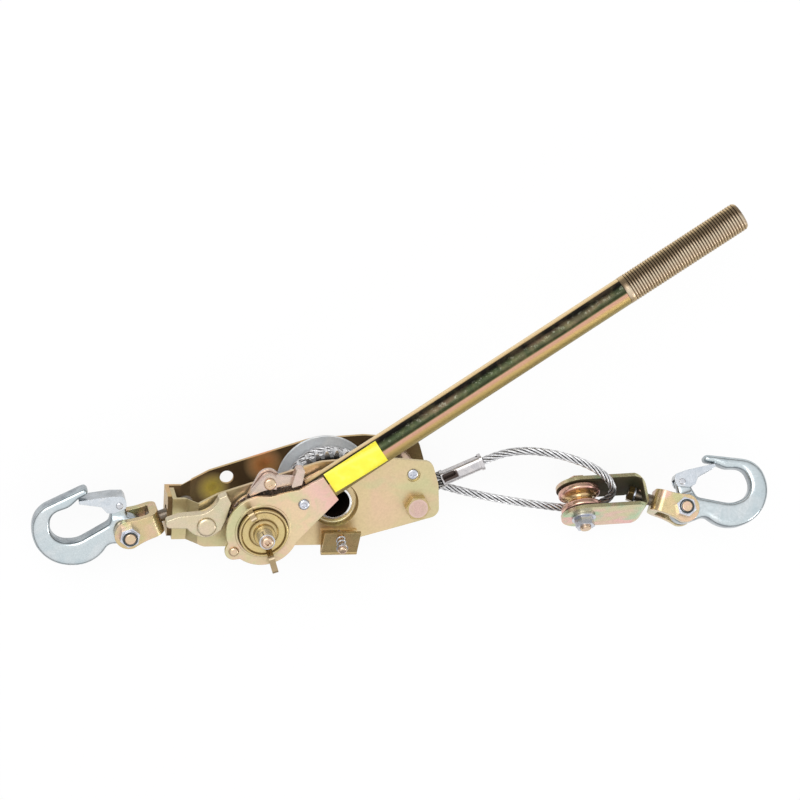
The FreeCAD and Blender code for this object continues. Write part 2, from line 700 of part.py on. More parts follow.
inner_r = size["clip_groove"] + size["pin_clearance"]
outer_r = size["clip_radius"]
path(section, (inner_r * math.cos(mouth), inner_r * math.sin(mouth)), [
    (-inner_r, 0, inner_r * math.cos(mouth), -inner_r * math.sin(mouth)),
    (outer_r * math.cos(mouth * 0.8), -outer_r * math.sin(mouth * 0.8)),
    (-outer_r, 0, outer_r * math.cos(mouth * 0.8), outer_r * math.sin(mouth * 0.8))])
pad(clip, section, "clip_thickness")

wheel = new_body("ratchet_wheel", pinion_place)
section = draw(wheel, level="wheel_bottom")
circle(section, 0, 0, "wheel_root")
circle(section, 0, 0, "shaft_radius + pin_clearance")
pad(wheel, section, "wheel_width")
tooth = draw(wheel, level="wheel_bottom")
tip_r = size["wheel_radius"]
root_r = size["wheel_root"]
step_angle = 2 * math.pi / size["wheel_teeth"]


def polar(radius, part):
    return (radius * math.cos(part * step_angle), radius * math.sin(part * step_angle))


path(tooth, polar(root_r - 0.6, 0), [polar(tip_r, 0), polar(tip_r, -0.2),
                                     polar(root_r + 0.2, -0.85), polar(root_r - 0.6, -0.9)])
ring(wheel, pad(wheel, tooth, "wheel_width"), "wheel_teeth")

knob = new_body("wing_knob", pinion_place)
section = draw(knob, "XZ_Plane")
knob_r = size["knob_radius"]
low = size["knob_bottom"]
plate = low + size["knob_thickness"]
rim_top = plate + size["knob_rim_height"]
rim_in = knob_r - size["knob_rim"]
hub_r = size["knob_hub_radius"]
bore_r = stub_r + size["pin_clearance"]
path(section, (bore_r, low), [
    (knob_r - 0.8, low), (knob_r, low + 0.8), (knob_r, rim_top - 0.6),
    (knob_r - 0.25, rim_top - 0.2, knob_r - 0.8, rim_top), (rim_in, rim_top - 0.2),
    (rim_in - 1, plate), (hub_r + 2.6, plate), (hub_r + 1.8, plate + 1.2), (hub_r, plate + 1.6),
    (hub_r, size["knob_hub_end"] - 0.6), (hub_r - 0.6, size["knob_hub_end"]),
    (bore_r, size["knob_hub_end"])])
spin(knob, section)
for turn, reach in ((122, "wing_short"), (-72, "wing_long")):
    fin = draw(knob, "XZ_Plane", turned=turn)
    out = size[reach]
    top = plate + size["wing_height"]
    path(fin, (size["wing_inner"], low + 0.4), [
        (knob_r - 0.6, low + 0.4), (out - 3, plate + 1.5), (out - 0.9, plate + 2.4, out, plate + 4.5),
        (out, top - 3), (out - 0.9, top - 0.9, out - 3, top),
        (size["wing_inner"] + 3, top), (size["wing_inner"], plate + 3)])
    pad(knob, fin, "wing_thickness", both=True)

screw_r = size["knob_screw_radius"]
screw_low = size["stub_end"]
screw_high = screw_low + size["knob_screw_height"]
knob_screw = turned_part("knob_screw", pinion_place, (0, screw_low - 8), [
    (size["knob_screw_shank"], screw_low - 8), (size["knob_screw_shank"], screw_low),
    (screw_r, screw_low), (screw_r, screw_low + 1.2),
    (screw_r * 0.8, screw_high - 0.35, screw_r * 0.4, screw_high), (0, screw_high)])
cross_recess(knob_screw, 2.4, 1.6, "stub_end + knob_screw_height")


# The handle: two plates that straddle the ratchet wheel, and a tube with a ribbed grip.
head = size["handle_head_radius"]
neck = size["handle_neck"]
neck_half = size["handle_neck_half"]


def tangent_point(centre, radius, point, side):
    """Where a line from the point touches the circle, on the chosen side."""
    away = Vector(point[0] - centre[0], point[1] - centre[1], 0)
    turn = math.acos(radius / away.Length) * side
    angle = math.atan2(away.y, away.x) + turn
    return (centre[0] + radius * math.cos(angle), centre[1] + radius * math.sin(angle))


def handle_plate(label, level, disc, ear, ear_name, hole):
    """A plate of the handle's head: the disc, the neck and one ear."""
    owner = new_body(label, handle_place)
    ear_r = size[ear_name]
    waist = (size["handle_waist"], size["handle_waist_half"])
    plate_top = tangent_point((0, 0), head, waist, 1)
    plate_low = tangent_point((0, 0), head, (neck, -neck_half), -1)
    outline = draw(owner, level=level)
    path(outline, plate_low, [(neck, -neck_half), (neck, size["handle_neck_top"]), waist, plate_top,
                              (-head, 0) + plate_low])
    pad(owner, outline, "plate_thickness")
    cover = draw(owner, level=level)
    circle(cover, 0, 0, disc)
    pad(owner, cover, "plate_thickness")
    # The ear is a boss blended to the disc by its own tangents.
    span = math.hypot(*ear)
    lean = math.atan2(ear[1], ear[0])
    spread = math.acos((head - 5 - ear_r) / span)
    boss = draw(owner, level=level)
    corners = []
    for side in (1, -1):
        angle = lean + side * spread
        corners.append(((head - 5) * math.cos(angle), (head - 5) * math.sin(angle)))
        corners.append((ear[0] + ear_r * math.cos(angle), ear[1] + ear_r * math.sin(angle)))
    crown = (ear[0] + ear_r * math.cos(lean), ear[1] + ear_r * math.sin(lean))
    path(boss, corners[2], [corners[3], crown + corners[1], corners[0]])
    pad(owner, boss, "plate_thickness")
    holes = draw(owner)
    circle(holes, 0, 0, "shaft_radius + shaft_clearance")
    circle(holes, size["neck_rivet_x"], 0, "neck_rivet_shank + pin_clearance")
    circle(holes, ear[0], ear[1], hole + " + pin_clearance")
    pocket(owner, holes)
    return owner


front_handle = handle_plate("handle_plate_front", "handle_front_level",
                            "handle_front_radius", (-size["ear_reach"], -1), "ear_radius",
                            "neck_rivet_shank")
step = draw(front_handle, level="handle_front_level + plate_thickness")
circle(step, 0, 0, "knob_radius + handle_rim_width")
circle(step, 0, 0, "knob_radius + running_gap")
pad(front_handle, step, "handle_rim_height")
pawl_ear = (size["pawl_ear_x"], size["pawl_ear_y"])
handle_plate("handle_plate_rear", "handle_rear_level", "handle_head_radius", pawl_ear,
             "pawl_ear_radius", "drive_pin_radius")

# The tube's end is flattened to fit between the plates, and it swells to round beyond them.
tube_level = (size["handle_rear_level"] + size["handle_front_level"] + size["plate_thickness"]) / 2
flat_half = tube_level - size["handle_rear_level"] - size["plate_thickness"] - size["tube_fit"]
tube_r = size["handle_tube_radius"]


def tube_section(x, half_y, half_z, corner):
    """A rounded oblong across the handle at x, as four lines and four arcs."""
    bend = corner * (1 - math.sqrt(0.5))
    edges = []
    y = half_y
    z = half_z
    corners = [((y, z - corner), (y - bend, z - bend), (y - corner, z)),
               ((-y + corner, z), (-y + bend, z - bend), (-y, z - corner)),
               ((-y, -z + corner), (-y + bend, -z + bend), (-y + corner, -z)),
               ((y - corner, -z), (y - bend, -z + bend), (y, -z + corner))]
    for index, (begin, crown, end) in enumerate(corners):
        spots = [Vector(x, point[0], point[1] + tube_level) for point in (begin, crown, end)]
        edges.append(Part.Arc(*spots).toShape())
        after = corners[(index + 1) % 4][0]
        edges.append(Part.makeLine(spots[2], Vector(x, after[0], after[1] + tube_level)))
    return Part.Wire(edges)


def hollow_tube(inset):
    """The handle tube's outer skin, or its bore where inset is the wall."""
    swell = size["handle_round_from"]
    radius = tube_r - inset
    half_y = size["tube_flat_half_width"] - inset
    corner = (flat_half - inset) * 0.8
    grip_from = size["grip_start"]
    starts = (size["tube_flat_start"] - (1 if inset else 0), neck)
    flats = [tube_section(x, half_y, flat_half - inset, corner) for x in starts]
    rounds = [tube_section(x, radius, radius, radius - 0.05) for x in (swell, grip_from)]
    parts = [Part.makeLoft(list(pair), True, True)
             for pair in (flats, (flats[1], rounds[0]), rounds)]
    parts.append(Part.makeCylinder(size["grip_bore"] - inset, size["handle_length"] - 4 - grip_from
                                   - (2 if inset else 0), Vector(grip_from, 0, tube_level), along_x))
    return parts[0].fuse(parts[1:]).removeSplitter()


tube_shape = hollow_tube(0).cut(hollow_tube(size["handle_tube_wall"]))
solid_part("handle_tube", handle_place, tube_shape.Solids[0])

grip = new_body("handle_grip", handle_place * move_to(0, 0, tube_level))
section = draw(grip, "XZ_Plane")
grip_from = size["grip_start"]
grip_to = size["handle_length"]
grip_bore = size["grip_bore"] + size["pin_clearance"]
steps = [(grip_to - 4 + size["pin_clearance"], grip_bore), (grip_to - 4 + size["pin_clearance"], 0.0),
         (grip_to, 0.0), (grip_to, size["grip_root"] - 2.5),
         (grip_to - 0.5, size["grip_root"] - 0.9, grip_to - 1.6, size["grip_root"])]
rib = (grip_to - 1.6 - grip_from) / size["grip_ribs"]
for number in range(size["grip_ribs"]):
    right = grip_to - 1.6 - number * rib
    steps.append((right - 0.15 * rib, size["grip_radius"]))
    steps.append((right - 0.6 * rib, size["grip_radius"]))
    steps.append((right - 0.75 * rib, size["grip_root"]))
    steps.append((right - rib, size["grip_root"]))
path(section, (grip_from, grip_bore), steps)
spin(grip, section, "H_Axis")

rivet_r = size["neck_rivet_radius"]
rivet_stem = size["neck_rivet_shank"]
rivet_low = size["handle_rear_level"]
rivet_top = size["handle_front_level"] + size["plate_thickness"]
turned_part("neck_rivet", handle_place * move_to(size["neck_rivet_x"], 0, 0), (0, rivet_low - 1.6), [
    (rivet_r * 0.6, rivet_low - 1.6), (rivet_r, rivet_low - 0.9), (rivet_r, rivet_low),
    (rivet_stem, rivet_low), (rivet_stem, rivet_top), (rivet_r, rivet_top),
    (rivet_r * 0.9, rivet_top + 1.1, rivet_r * 0.45, rivet_top + 1.9),
    (rivet_r * 0.3, rivet_top + 0.9), (0, rivet_top + 0.9)])
ear_low = size["handle_front_level"]
ear_head = size["ear_rivet_radius"]
turned_part("ear_rivet", handle_place * move_to(-size["ear_reach"], -1, 0), (0, ear_low), [
    (rivet_stem, ear_low), (rivet_stem, rivet_top), (ear_head, rivet_top),
    (ear_head * 0.85, rivet_top + 1.4, ear_head * 0.3, rivet_top + 2), (0, rivet_top + 2)])


# The plain sticker follows the tube's skin where it swells from flat to round.
sticker_low = size["sticker_shift"] - size["sticker_width"] / 2
patch = Part.makeBox(size["sticker_length"], size["sticker_width"], 40,
                     Vector(size["sticker_start"], sticker_low, tube_level))
sticker_skin = hollow_tube(-size["sticker_thickness"]).common(patch).cut(hollow_tube(0))
solid_part("handle_sticker", handle_place, max(sticker_skin.Solids, key=lambda s: s.Volume))


# The pawls, each on its own pin.
drive_pawl = new_body("drive_pawl", handle_place)
ear_x, ear_y = pawl_ear
nose_r = size["wheel_radius"] + 0.45
nose = (nose_r * math.cos(math.radians(74.6)), nose_r * math.sin(math.radians(74.6)))
outline = draw(drive_pawl, level="drive_pawl_level")
path(outline, nose, [
    (15.6, 23.3, ear_x + 1.5, ear_y - 6.2), (33.4, 15.2), (40.5, 12.0),
    (42.6, 15.2), (ear_x + 6.2, ear_y + 1.2), (ear_x + 4.0, ear_y + 4.8, ear_x - 1.5, ear_y + 6.1),
    (nose[0] + 4.5, nose[1] + 3.4), (nose[0] - 0.4, nose[1] + 1.8)])
pad(drive_pawl, outline, "drive_pawl_width * 0.55")
boss = draw(drive_pawl, level="drive_pawl_level")
path(boss, nose, [
    (15.6, 23.3, ear_x + 1.5, ear_y - 6.2), (ear_x + 6.2, ear_y + 1.2),
    (ear_x + 4.0, ear_y + 4.8, ear_x - 1.5, ear_y + 6.1), (nose[0] + 4.5, nose[1] + 3.4),
    (nose[0] - 0.4, nose[1] + 1.8)])
pad(drive_pawl, boss, "drive_pawl_width")
tab = draw(drive_pawl, level="drive_pawl_level")
path(tab, *rounded([(32.8, 13.9, 1), (40.6, 11.6, 1), (48.8, 20.2, 2), (44.0, 23.6, 2)]))
pad(drive_pawl, tab, "drive_pawl_width + 1")
hole = draw(drive_pawl)
circle(hole, ear_x, ear_y, "drive_pin_radius + shaft_clearance")
pocket(drive_pawl, hole)
pin_r = size["drive_pin_radius"]
pin_head = size["drive_pin_head"]
pawl_top = size["drive_pawl_level"] + size["drive_pawl_width"] + size["running_gap"]
pin_top = pawl_top + size["drive_pin_head_height"]
turned_part("drive_pawl_pin", handle_place * move_to(ear_x, ear_y, 0), (0, rivet_low - 1.2), [
    (pin_head * 0.7, rivet_low - 1.2), (pin_head * 0.9, rivet_low), (pin_r, rivet_low),
    (pin_r, pawl_top), (pin_head, pawl_top), (pin_head, pin_top - 0.7), (pin_head * 0.7, pin_top),
    (1.2, pin_top), (1.2, pin_top - 0.8), (0, pin_top - 0.8)])
turned_part("drive_pawl_washer", handle_place * move_to(ear_x, ear_y, 0),
            (pin_r + size["pin_clearance"], rivet_low + 3.1), [
                (5.5, rivet_low + 3.1), (5.5, size["drive_pawl_level"] - 0.1),
                (pin_r + size["pin_clearance"], size["drive_pawl_level"] - 0.1)])

holding = new_body("holding_pawl", winch_place)
pin_x = size["pawl_pin_x"]
pin_y = size["pawl_pin_y"]
outline = draw(holding, level="pawl_level")
path(outline, (-82.0, -13.8), [
    (-78.9, -6.6), (-75.6, 6.2), (-79.2, 12.4), (-84.6, 9.8), (-91, 0.6, -99.5, -2.2),
    (-112, -3.4), (-120, -6.4), (-120.8, -9.8, -118.6, -12.2), (-106, -12.6),
    (-100.6, -17.2, -92.5, -19.4), (-87.2, -18)])
pad(holding, outline, "pawl_width")
hole = draw(holding)
circle(hole, pin_x, pin_y, "pawl_pin_radius + shaft_clearance")
pocket(holding, hole)
pin_r = size["pawl_pin_radius"]
pin_head = size["pawl_head_radius"]
pawl_top = size["pawl_level"] + size["pawl_width"] + size["running_gap"]
pin_top = pawl_top + size["pawl_head_height"]
turned_part("holding_pawl_pin", move_to(pin_x, pin_y, 0), (0, -size["plate_thickness"] - 1.5), [
    (4.2, -size["plate_thickness"] - 1.5), (4.9, -size["plate_thickness"]),
    (pin_r, -size["plate_thickness"]), (pin_r, pawl_top), (pin_head, pawl_top),
    (pin_head, pin_top - 0.9), (pin_head * 0.85, pin_top - 0.25, pin_head * 0.55, pin_top),
    (0, pin_top)])
pawl_spring, _, _ = coil(5, 1.55, 1.5, 200, 0.72, 0.6, 6)
solid_part("holding_pawl_spring", move_to(pin_x, pin_y, 0), pawl_spring)


# Each end of the winch has a swivel, a clevis with its bolt and nut, and a hook with a latch.
# In these pieces' axes the load runs along -X from the swivel hole, and Z is the hook's normal.
hook_outline = [
    (10.5, -10.5, 10.45), (10.5, 10.5, 10.45), (-13.4, 10.5, 3), (-13.4, 5.25, 3),
    (-35.9, -8.6, 16), (-54.8, -8.6, 12), (-54.8, 12.6, 9), (-41.3, 17.4, 12), (-34.9, 24.3, 5),
    (-27.8, 27.8, 2.75), (-30.5, 33.1, 2.75), (-67.7, 14.3, 19), (-67.7, -26.5, 28.5),
    (-22.1, -26.5, 25), (-13.5, -10.5, 5)]


def clevis_bolt(label, place, nut_side):
    half = size["clevis_gap"] / 2 + size["clevis_arm"]
    flip = Rotation(along_x, 0 if nut_side > 0 else 180)
    base = place * Placement(Vector(), flip) * move_to(0, 0, -half)
    hex_bolt(label + "_clevis_bolt", base, "clevis_bolt_flats", "clevis_head_height",
             "clevis_bolt_radius", "clevis_gap + clevis_arm * 2 + clevis_nut_height"
             " + clevis_collar_height + clevis_bolt_proud")
    lock_nut(label + "_clevis_nut", base * move_to(0, 0, 2 * half), "clevis_bolt_flats",
             "clevis_nut_height", "clevis_bolt_radius", "clevis_collar_height",
             "clevis_collar_radius")


def clevis(label, place):
    owner = new_body(label + "_clevis", place)
    bolt_x = -size["bolt_distance"]
    base_x = -size["base_gap"]
    half_y = size["clevis_half"]
    lobe = size["clevis_lobe"]
    half_z = size["clevis_gap"] / 2 + size["clevis_arm"]
    inner_z = size["clevis_gap"] / 2
    shoulder = bolt_x + lobe * 1.5
    side_view = draw(owner)
    path(side_view, (base_x, -half_y), [
        (base_x, half_y), (shoulder, half_y), (bolt_x + lobe * 0.9, half_y + 0.4, bolt_x, lobe),
        (bolt_x - lobe, 0, bolt_x, -lobe), (bolt_x + lobe * 0.9, -half_y - 0.4, shoulder, -half_y)])
    pad(owner, side_view, "clevis_gap + clevis_arm * 2", both=True)
    gap = draw(owner, "XZ_Plane")
    far = bolt_x - lobe - 5
    floor = base_x - size["clevis_arm"]
    path(gap, *rounded([(far, -inner_z, 0), (floor, -inner_z, 2), (floor, inner_z, 2),
                        (far, inner_z, 0)]))
    pocket(owner, gap)
    ease(owner, "Fillet", "clevis_bend", lambda edge, centre:
         abs(centre.x - base_x) < 0.1 and abs(abs(centre.z) - half_z) < 0.1)
    hole = draw(owner)
    circle(hole, bolt_x, 0, "clevis_bolt_radius + pin_clearance")
    pocket(owner, hole)
    hole = draw(owner, "YZ_Plane")
    circle(hole, 0, 0, "swivel_radius + pin_clearance")
    pocket(owner, hole)
    return owner


def swivel(label, place, with_nut):
    """The swivel: a stem along X, riveted in the clevis, with a ball head or a nut inside."""
    stem = size["swivel_radius"]
    tail_x = -size["base_gap"] - size["clevis_arm"]
    tail_r = size["swivel_tail_radius"]
    start = (tail_x - size["swivel_tail_height"], 0)
    steps = [(start[0], tail_r - 1.5), (start[0] + 1.2, tail_r), (tail_x, tail_r), (tail_x, stem)]
    if with_nut:
        seat = size["swivel_washer_start"]
        end = seat + size["swivel_washer_thickness"] + size["swivel_nut_length"] + 0.4
        steps += [(end, stem), (end, 0)]
    else:
        ball = size["swivel_ball_radius"]
        centre = size["swivel_ball_centre"]
        neck_x = centre - math.sqrt(ball ** 2 - stem ** 2)
        flat_x = centre + 0.75 * ball
        flat_r = ball * math.sqrt(1 - 0.75 ** 2)
        steps += [(neck_x, stem), (centre, ball, flat_x, flat_r), (flat_x, 0)]
    turned_part(label + "_swivel", place, start, steps, "H_Axis")
    if with_nut:
        base = place * Placement(Vector(seat, 0, 0), Rotation(along_y, 90))
        washer(label + "_swivel_washer", base, "swivel_washer_radius", "swivel_washer_thickness",
               "swivel_radius + pin_clearance")
        lock_nut(label + "_swivel_nut", base * move_to(0, 0, size["swivel_washer_thickness"]),
                 "swivel_nut_flats", "swivel_nut_length", "swivel_radius")


def hook(label, place):
    """The forged hook, its lug's pin and the folded latch."""
    owner = new_body(label + "_hook", place)
    outline = draw(owner)
    path(outline, *rounded(hook_outline))
    pad(owner, outline, "hook_thickness", both=True)
    half = size["hook_thickness"] / 2
    ease(owner, "Fillet", "hook_edge", lambda edge, centre:
         abs(abs(centre.z) - half) < 0.1)
    pin_x = size["latch_pin_x"]
    pin_y = size["latch_pin_y"]
    lug = draw(owner)
    lug_r = size["lug_radius"]
    path(lug, (-13.2, 8), [(-12.6, 14), (pin_x - lug_r, pin_y), (pin_x, pin_y + lug_r,
                           pin_x + lug_r, pin_y), (-1.2, 9)])
    pad(owner, lug, "lug_thickness", both=True)
    holes = draw(owner)
    circle(holes, 0, 0, "clevis_bolt_radius + shaft_clearance")
    circle(holes, pin_x, pin_y, "latch_pin_radius + pin_clearance")
    pocket(owner, holes)

    latch_place = place * move_to(pin_x, pin_y, 0)
    latch = new_body(label + "_latch", latch_place)
    long = size["latch_length"]
    deep = size["latch_depth"]
    web = size["latch_sheet"]
    crest = lug_r + size["running_gap"]
    side_view = draw(latch)
    path(side_view, (crest - 0.5, -2.2), [
        (crest, 0, 2.2, crest + web), (-6, crest + web), (-long, crest - 1.2), (-long, crest - 3.4),
        (-long * 0.45, -deep + 6.2), (-8.5, -deep + 1.6), (-3.5, -deep + 1.2)])
    pad(latch, side_view, "latch_width", both=True)
    hollow = draw(latch)
    path(hollow, (crest + 3, -deep - 3), [
        (crest + 3, crest - 1.5), (crest - 0.2, crest - 1.5), (1.6, crest), (-6, crest),
        (-long - 3, crest - 1.2 - web - 0.35), (-long - 3, -deep - 3)])
    pocket(latch, hollow, "lug_thickness + running_gap * 2", both=True)
    hole = draw(latch)
    circle(hole, 0, 0, "latch_pin_radius + shaft_clearance")
    pocket(latch, hole)

    reach = size["latch_width"] / 2 + 0.15
    pin_r = size["latch_pin_radius"]
    cap_r = size["latch_pin_head"]
    cap = size["latch_pin_head_height"]
    turned_part(label + "_latch_pin", latch_place, (0, -reach - cap), [
        (cap_r * 0.7, -reach - cap), (cap_r, -reach - cap * 0.5), (cap_r, -reach), (pin_r, -reach),
        (pin_r, reach), (cap_r, reach), (cap_r, reach + cap * 0.5), (cap_r * 0.7, reach + cap),
        (0, reach + cap)])


anchor_place = (move_to(size["wall_left"] + size["plate_thickness"], size["swivel_hole_low"], middle)
                * turn_about(along_z, size["anchor_angle"]))
anchor_bolt_place = anchor_place * move_to(-size["bolt_distance"], 0, 0)
clevis("anchor", anchor_place)
swivel("anchor", anchor_place, False)
clevis_bolt("anchor", anchor_bolt_place, 1)
hook("anchor", Placement(anchor_bolt_place.Base, Rotation(along_z, size["anchor_hook_angle"])))

# The pulley block: a bent bracket, the sheave and its axle, rolled about the rope line.
block_place = (move_to(size["block_x"], size["block_y"], middle)
               * turn_about(along_z, size["block_tilt"]) * turn_about(along_x, size["block_roll"]))
bracket = new_body("block_bracket", block_place)
wide = size["bracket_half"]
far = size["bracket_length"]
end_half = size["bracket_end_half"]
thick = size["bracket_thickness"]
inner = size["bracket_gap"] / 2
outline = draw(bracket)
path(outline, (0, wide), [(-wide, 0, 0, -wide), (far - 9, -wide), (far, -end_half),
                          (far, end_half), (far - 9, wide)])
pad(bracket, outline, "bracket_gap + bracket_thickness * 2", both=True)
gap = draw(bracket, "XZ_Plane")
path(gap, *rounded([(-wide - 5, -inner, 0), (far - thick, -inner, 5), (far - thick, inner, 5),
                    (-wide - 5, inner, 0)]))
pocket(bracket, gap)
ease(bracket, "Fillet", "bracket_bend", lambda edge, centre:
     abs(centre.x - far) < 0.1 and abs(abs(centre.z) - inner - thick) < 0.1)
hole = draw(bracket)
circle(hole, 0, 0, "axle_radius + pin_clearance")
pocket(bracket, hole)
hole = draw(bracket, "YZ_Plane")
circle(hole, 0, 0, "web_hole_radius")
pocket(bracket, hole)

half_width = size["sheave_width"] / 2
groove_r = rope_r + size["running_gap"]
bottom = size["sheave_groove_bottom"] - 0.1
rim = size["sheave_radius"]
soft = size["sheave_rim_round"]
bush = size["sheave_bush_radius"]
turned_part("sheave", block_place, (bush + size["pin_clearance"], -half_width), [
    (rim - soft, -half_width), (rim - 0.6, -half_width + 0.6, rim, -half_width + soft),
    (rim, -groove_r - 2.2), (rim - 0.5, -groove_r - 1.2, rim - 1.6, -groove_r - 0.7),
    (bottom + groove_r, -groove_r), (bottom, 0, bottom + groove_r, groove_r),
    (rim - 1.6, groove_r + 0.7), (rim - 0.5, groove_r + 1.2, rim, groove_r + 2.2),
    (rim, half_width - soft), (rim - 0.6, half_width - 0.6, rim - soft, half_width),
    (bush + size["pin_clearance"], half_width)])
turned_part("sheave_bush", block_place, (size["axle_radius"] + size["shaft_clearance"], -half_width), [
    (bush, -half_width), (bush, half_width), (size["axle_radius"] + size["shaft_clearance"], half_width)])
outer_face = inner + thick
hex_bolt("sheave_axle", block_place * move_to(0, 0, -outer_face), "axle_flats", "axle_head_height",
         "axle_radius", "bracket_gap + bracket_thickness * 2 + axle_washer_thickness"
         " + axle_nut_height + axle_proud")
washer("sheave_axle_washer", block_place * move_to(0, 0, outer_face), "axle_washer_radius",
       "axle_washer_thickness", "axle_radius + pin_clearance")
lock_nut("sheave_axle_nut", block_place * move_to(0, 0, outer_face + size["axle_washer_thickness"]),
         "axle_flats", "axle_nut_height", "axle_radius")

# The pull end hangs from the block's web, turned about so that its hook opens upward.
web_centre = (block_place * move_to(far - thick / 2, 0, 0)).Base
pull_lean = Rotation(along_y, size["pull_yaw"]) * Rotation(along_x, size["pull_roll"])
pull_frame = Placement(web_centre, pull_lean)
pull_place = pull_frame * turn_about(along_z, size["pull_angle"]) * turn_about(along_y, 180)
pull_bolt_place = pull_place * move_to(-size["bolt_distance"], 0, 0)
clevis("pull", pull_place)
swivel("pull", pull_place, True)
clevis_bolt("pull", pull_bolt_place, -1)
pull_hook_frame = Placement(pull_bolt_place.Base, pull_lean)
hook("pull", pull_hook_frame * turn_about(along_z, size["pull_hook_angle"])
     * turn_about(along_y, 180))

# The rope's eye round the anchor bolt, the ferrule that closes it, and the run of free rope.
ferrule_place = (move_to(size["anchor_x"], size["anchor_y"], middle)
                 * turn_about(along_z, size["ferrule_angle"]))
eye_r = size["anchor_radius"] + size["eye_clearance"] + rope_r
leg = size["leg_offset"]
leg_start = size["ferrule_start"]
touch = tangent_point((0, 0), eye_r, (leg_start, leg), 1)
first = Vector(leg_start, leg, 0) + (Vector(leg_start - touch[0], leg - touch[1], 0)) * 0.15
last = Vector(first.x, -first.y, 0)
upper = Vector(touch[0], touch[1], 0)
lower = Vector(touch[0], -touch[1], 0)
back_point = Vector(-eye_r, 0, 0)
turn_edges = [Part.LineSegment(first, upper), Part.Arc(upper, Vector(
    -eye_r * math.sqrt(0.5), eye_r * math.sqrt(0.5), 0), back_point)]
turn_edges += [Part.Arc(back_point, Vector(-eye_r * math.sqrt(0.5), -eye_r * math.sqrt(0.5), 0),
                        lower), Part.LineSegment(lower, last)]
beyond = Part.makeBox(20, 40, 20, Vector(leg_start, -20, -10))
solid_part("rope_eye", ferrule_place, tube_along(turn_edges, rope_r).cut(beyond))


def oval(sketch, half_wide, half_thick):
    """An oblong with round ends, in the sketch's own axes."""
    flat = half_wide - half_thick
    path(sketch, (-flat, -half_thick), [
        (flat, -half_thick), (half_wide, 0, flat, half_thick), (-flat, half_thick),
        (-half_wide, 0, -flat, -half_thick)])


ferrule = new_body("rope_ferrule", ferrule_place * move_to(leg_start, 0, 0))
sleeve = draw(ferrule, "YZ_Plane")
oval(sleeve, size["ferrule_half_width"], size["ferrule_half_thickness"])
pad(ferrule, sleeve, "ferrule_length")
for start in ("0", "ferrule_length - ferrule_lip"):
    lip = draw(ferrule, "YZ_Plane", start)
    oval(lip, size["ferrule_half_width"] + 0.9, size["ferrule_half_thickness"] + 0.6)
    pad(ferrule, lip, "ferrule_lip")
dead_end = draw(ferrule, "YZ_Plane", "ferrule_length")
circle(dead_end, size["dead_end_offset"], 0, "dead_end_radius")
pocket(ferrule, dead_end, "dead_end_radius * 3")
seam = draw(ferrule, level="ferrule_half_thickness + 1")
path(seam, *rounded([(-1, 0.4, 0), (11, 0.4, 1.8), (11, 4.4, 1.8), (-1, 4.4, 0)]))
pocket(ferrule, seam, "ferrule_half_thickness * 0.75")

# Route of the free rope, in the winch's own axes: off the drum, under the sheave, round it,
# and back over the top to the ferrule. Its first and last points are where the pieces meet.
ferrule_mouth = (ferrule_place * move_to(leg_start + size["ferrule_length"] + 0.1,
                                       size["run_offset"], 0)).Base
route = [rope_exit + rope_heading * (size["running_gap"] + 0.1), rope_exit + rope_heading * 10,
         Vector(40, 15.0, middle - 14.0), Vector(70, 4.0, middle - 12.4),
         Vector(100, -4.9, middle - 11.4), Vector(128, -11.2, middle - 10.6),
         Vector(154, -15.2, middle - 9.7), Vector(176, -18.2, middle - 8.9),
         Vector(191, -19.0, middle - 8.5), Vector(203, -17.2, middle - 7.5),
         Vector(211, -11.0, middle - 3.1), Vector(213.4, -2.5, middle + 4.0),
         Vector(210.3, 7.2, middle + 10.0), Vector(202, 16.2, middle + 12.3),
         Vector(191, 22.9, middle + 11.5), Vector(176, 28.2, middle + 9.8),
         Vector(160, 31.5, middle + 7.7), Vector(145, 32.5, middle + 5.3),
         Vector(131.5, 30.2, middle + 1.7), Vector(120.5, 26.1, middle + 0.1),
         ferrule_mouth]


def run_path(points):
    """Straight runs joined by arcs as large as the runs allow, and the least radius."""
    edges = []
    radii = []
    here = points[0]
    for index in range(1, len(points) - 1):
        corner = points[index]
        before = points[index - 1] - corner
        after = points[index + 1] - corner
        shorter = min(before.Length, after.Length)
        turn = math.pi - before.getAngle(after)
        reach = 0.45 * shorter
        radii.append(reach / math.tan(turn / 2))
        before.normalize()
        after.normalize()
        begin = corner + before * reach
        end = corner + after * reach
        edges.append(Part.LineSegment(here, begin))
        edges.append(tangent_arc(begin, before * -1, end))
        here = end
    edges.append(Part.LineSegment(here, points[-1]))
    return edges, radii


run_edges, run_radii = run_path(route)
print("rope run radii", [round(radius, 1) for radius in run_radii])
run_solid = tube_along(run_edges, rope_r)
run_length = sum(edge.length() for edge in run_edges)
print("rope run length %.1f mm, volume over section times length %.4f"
      % (run_length, run_solid.Volume / (math.pi * rope_r ** 2 * run_length)))
solid_part("rope_run", winch_place, run_solid)

# The whole winch is centred over the origin, resting on the floor, and each sub-part is written.
doc.recompute()
whole = FreeCAD.BoundBox()
for piece in pieces:
    whole.add(piece.Shape.optimalBoundingBox(False, False))
centring = move_to(-whole.Center.x, -whole.Center.y, -whole.ZMin)
for piece in pieces:
    piece.Placement = centring * piece.Placement
doc.recompute()
print("drum axis on the front face at %.4f %.4f %.4f" % tuple(centring.Base))
print("size %.2f %.2f %.2f, %d sub-parts" % (whole.XLength, whole.YLength, whole.ZLength, len(pieces)))
for item in doc.Objects:
    if "Invalid" in item.State or "Error" in item.State:
        raise ValueError("not recomputed: " + item.Label)
for piece in pieces:
    shape = piece.Shape
    if shape.isNull() or not shape.isValid() or len(shape.Solids) != 1:
        raise ValueError("bad shape: " + piece.Label)
    shape.exportStep("parts/" + piece.Label + ".step")
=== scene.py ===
import json
import math

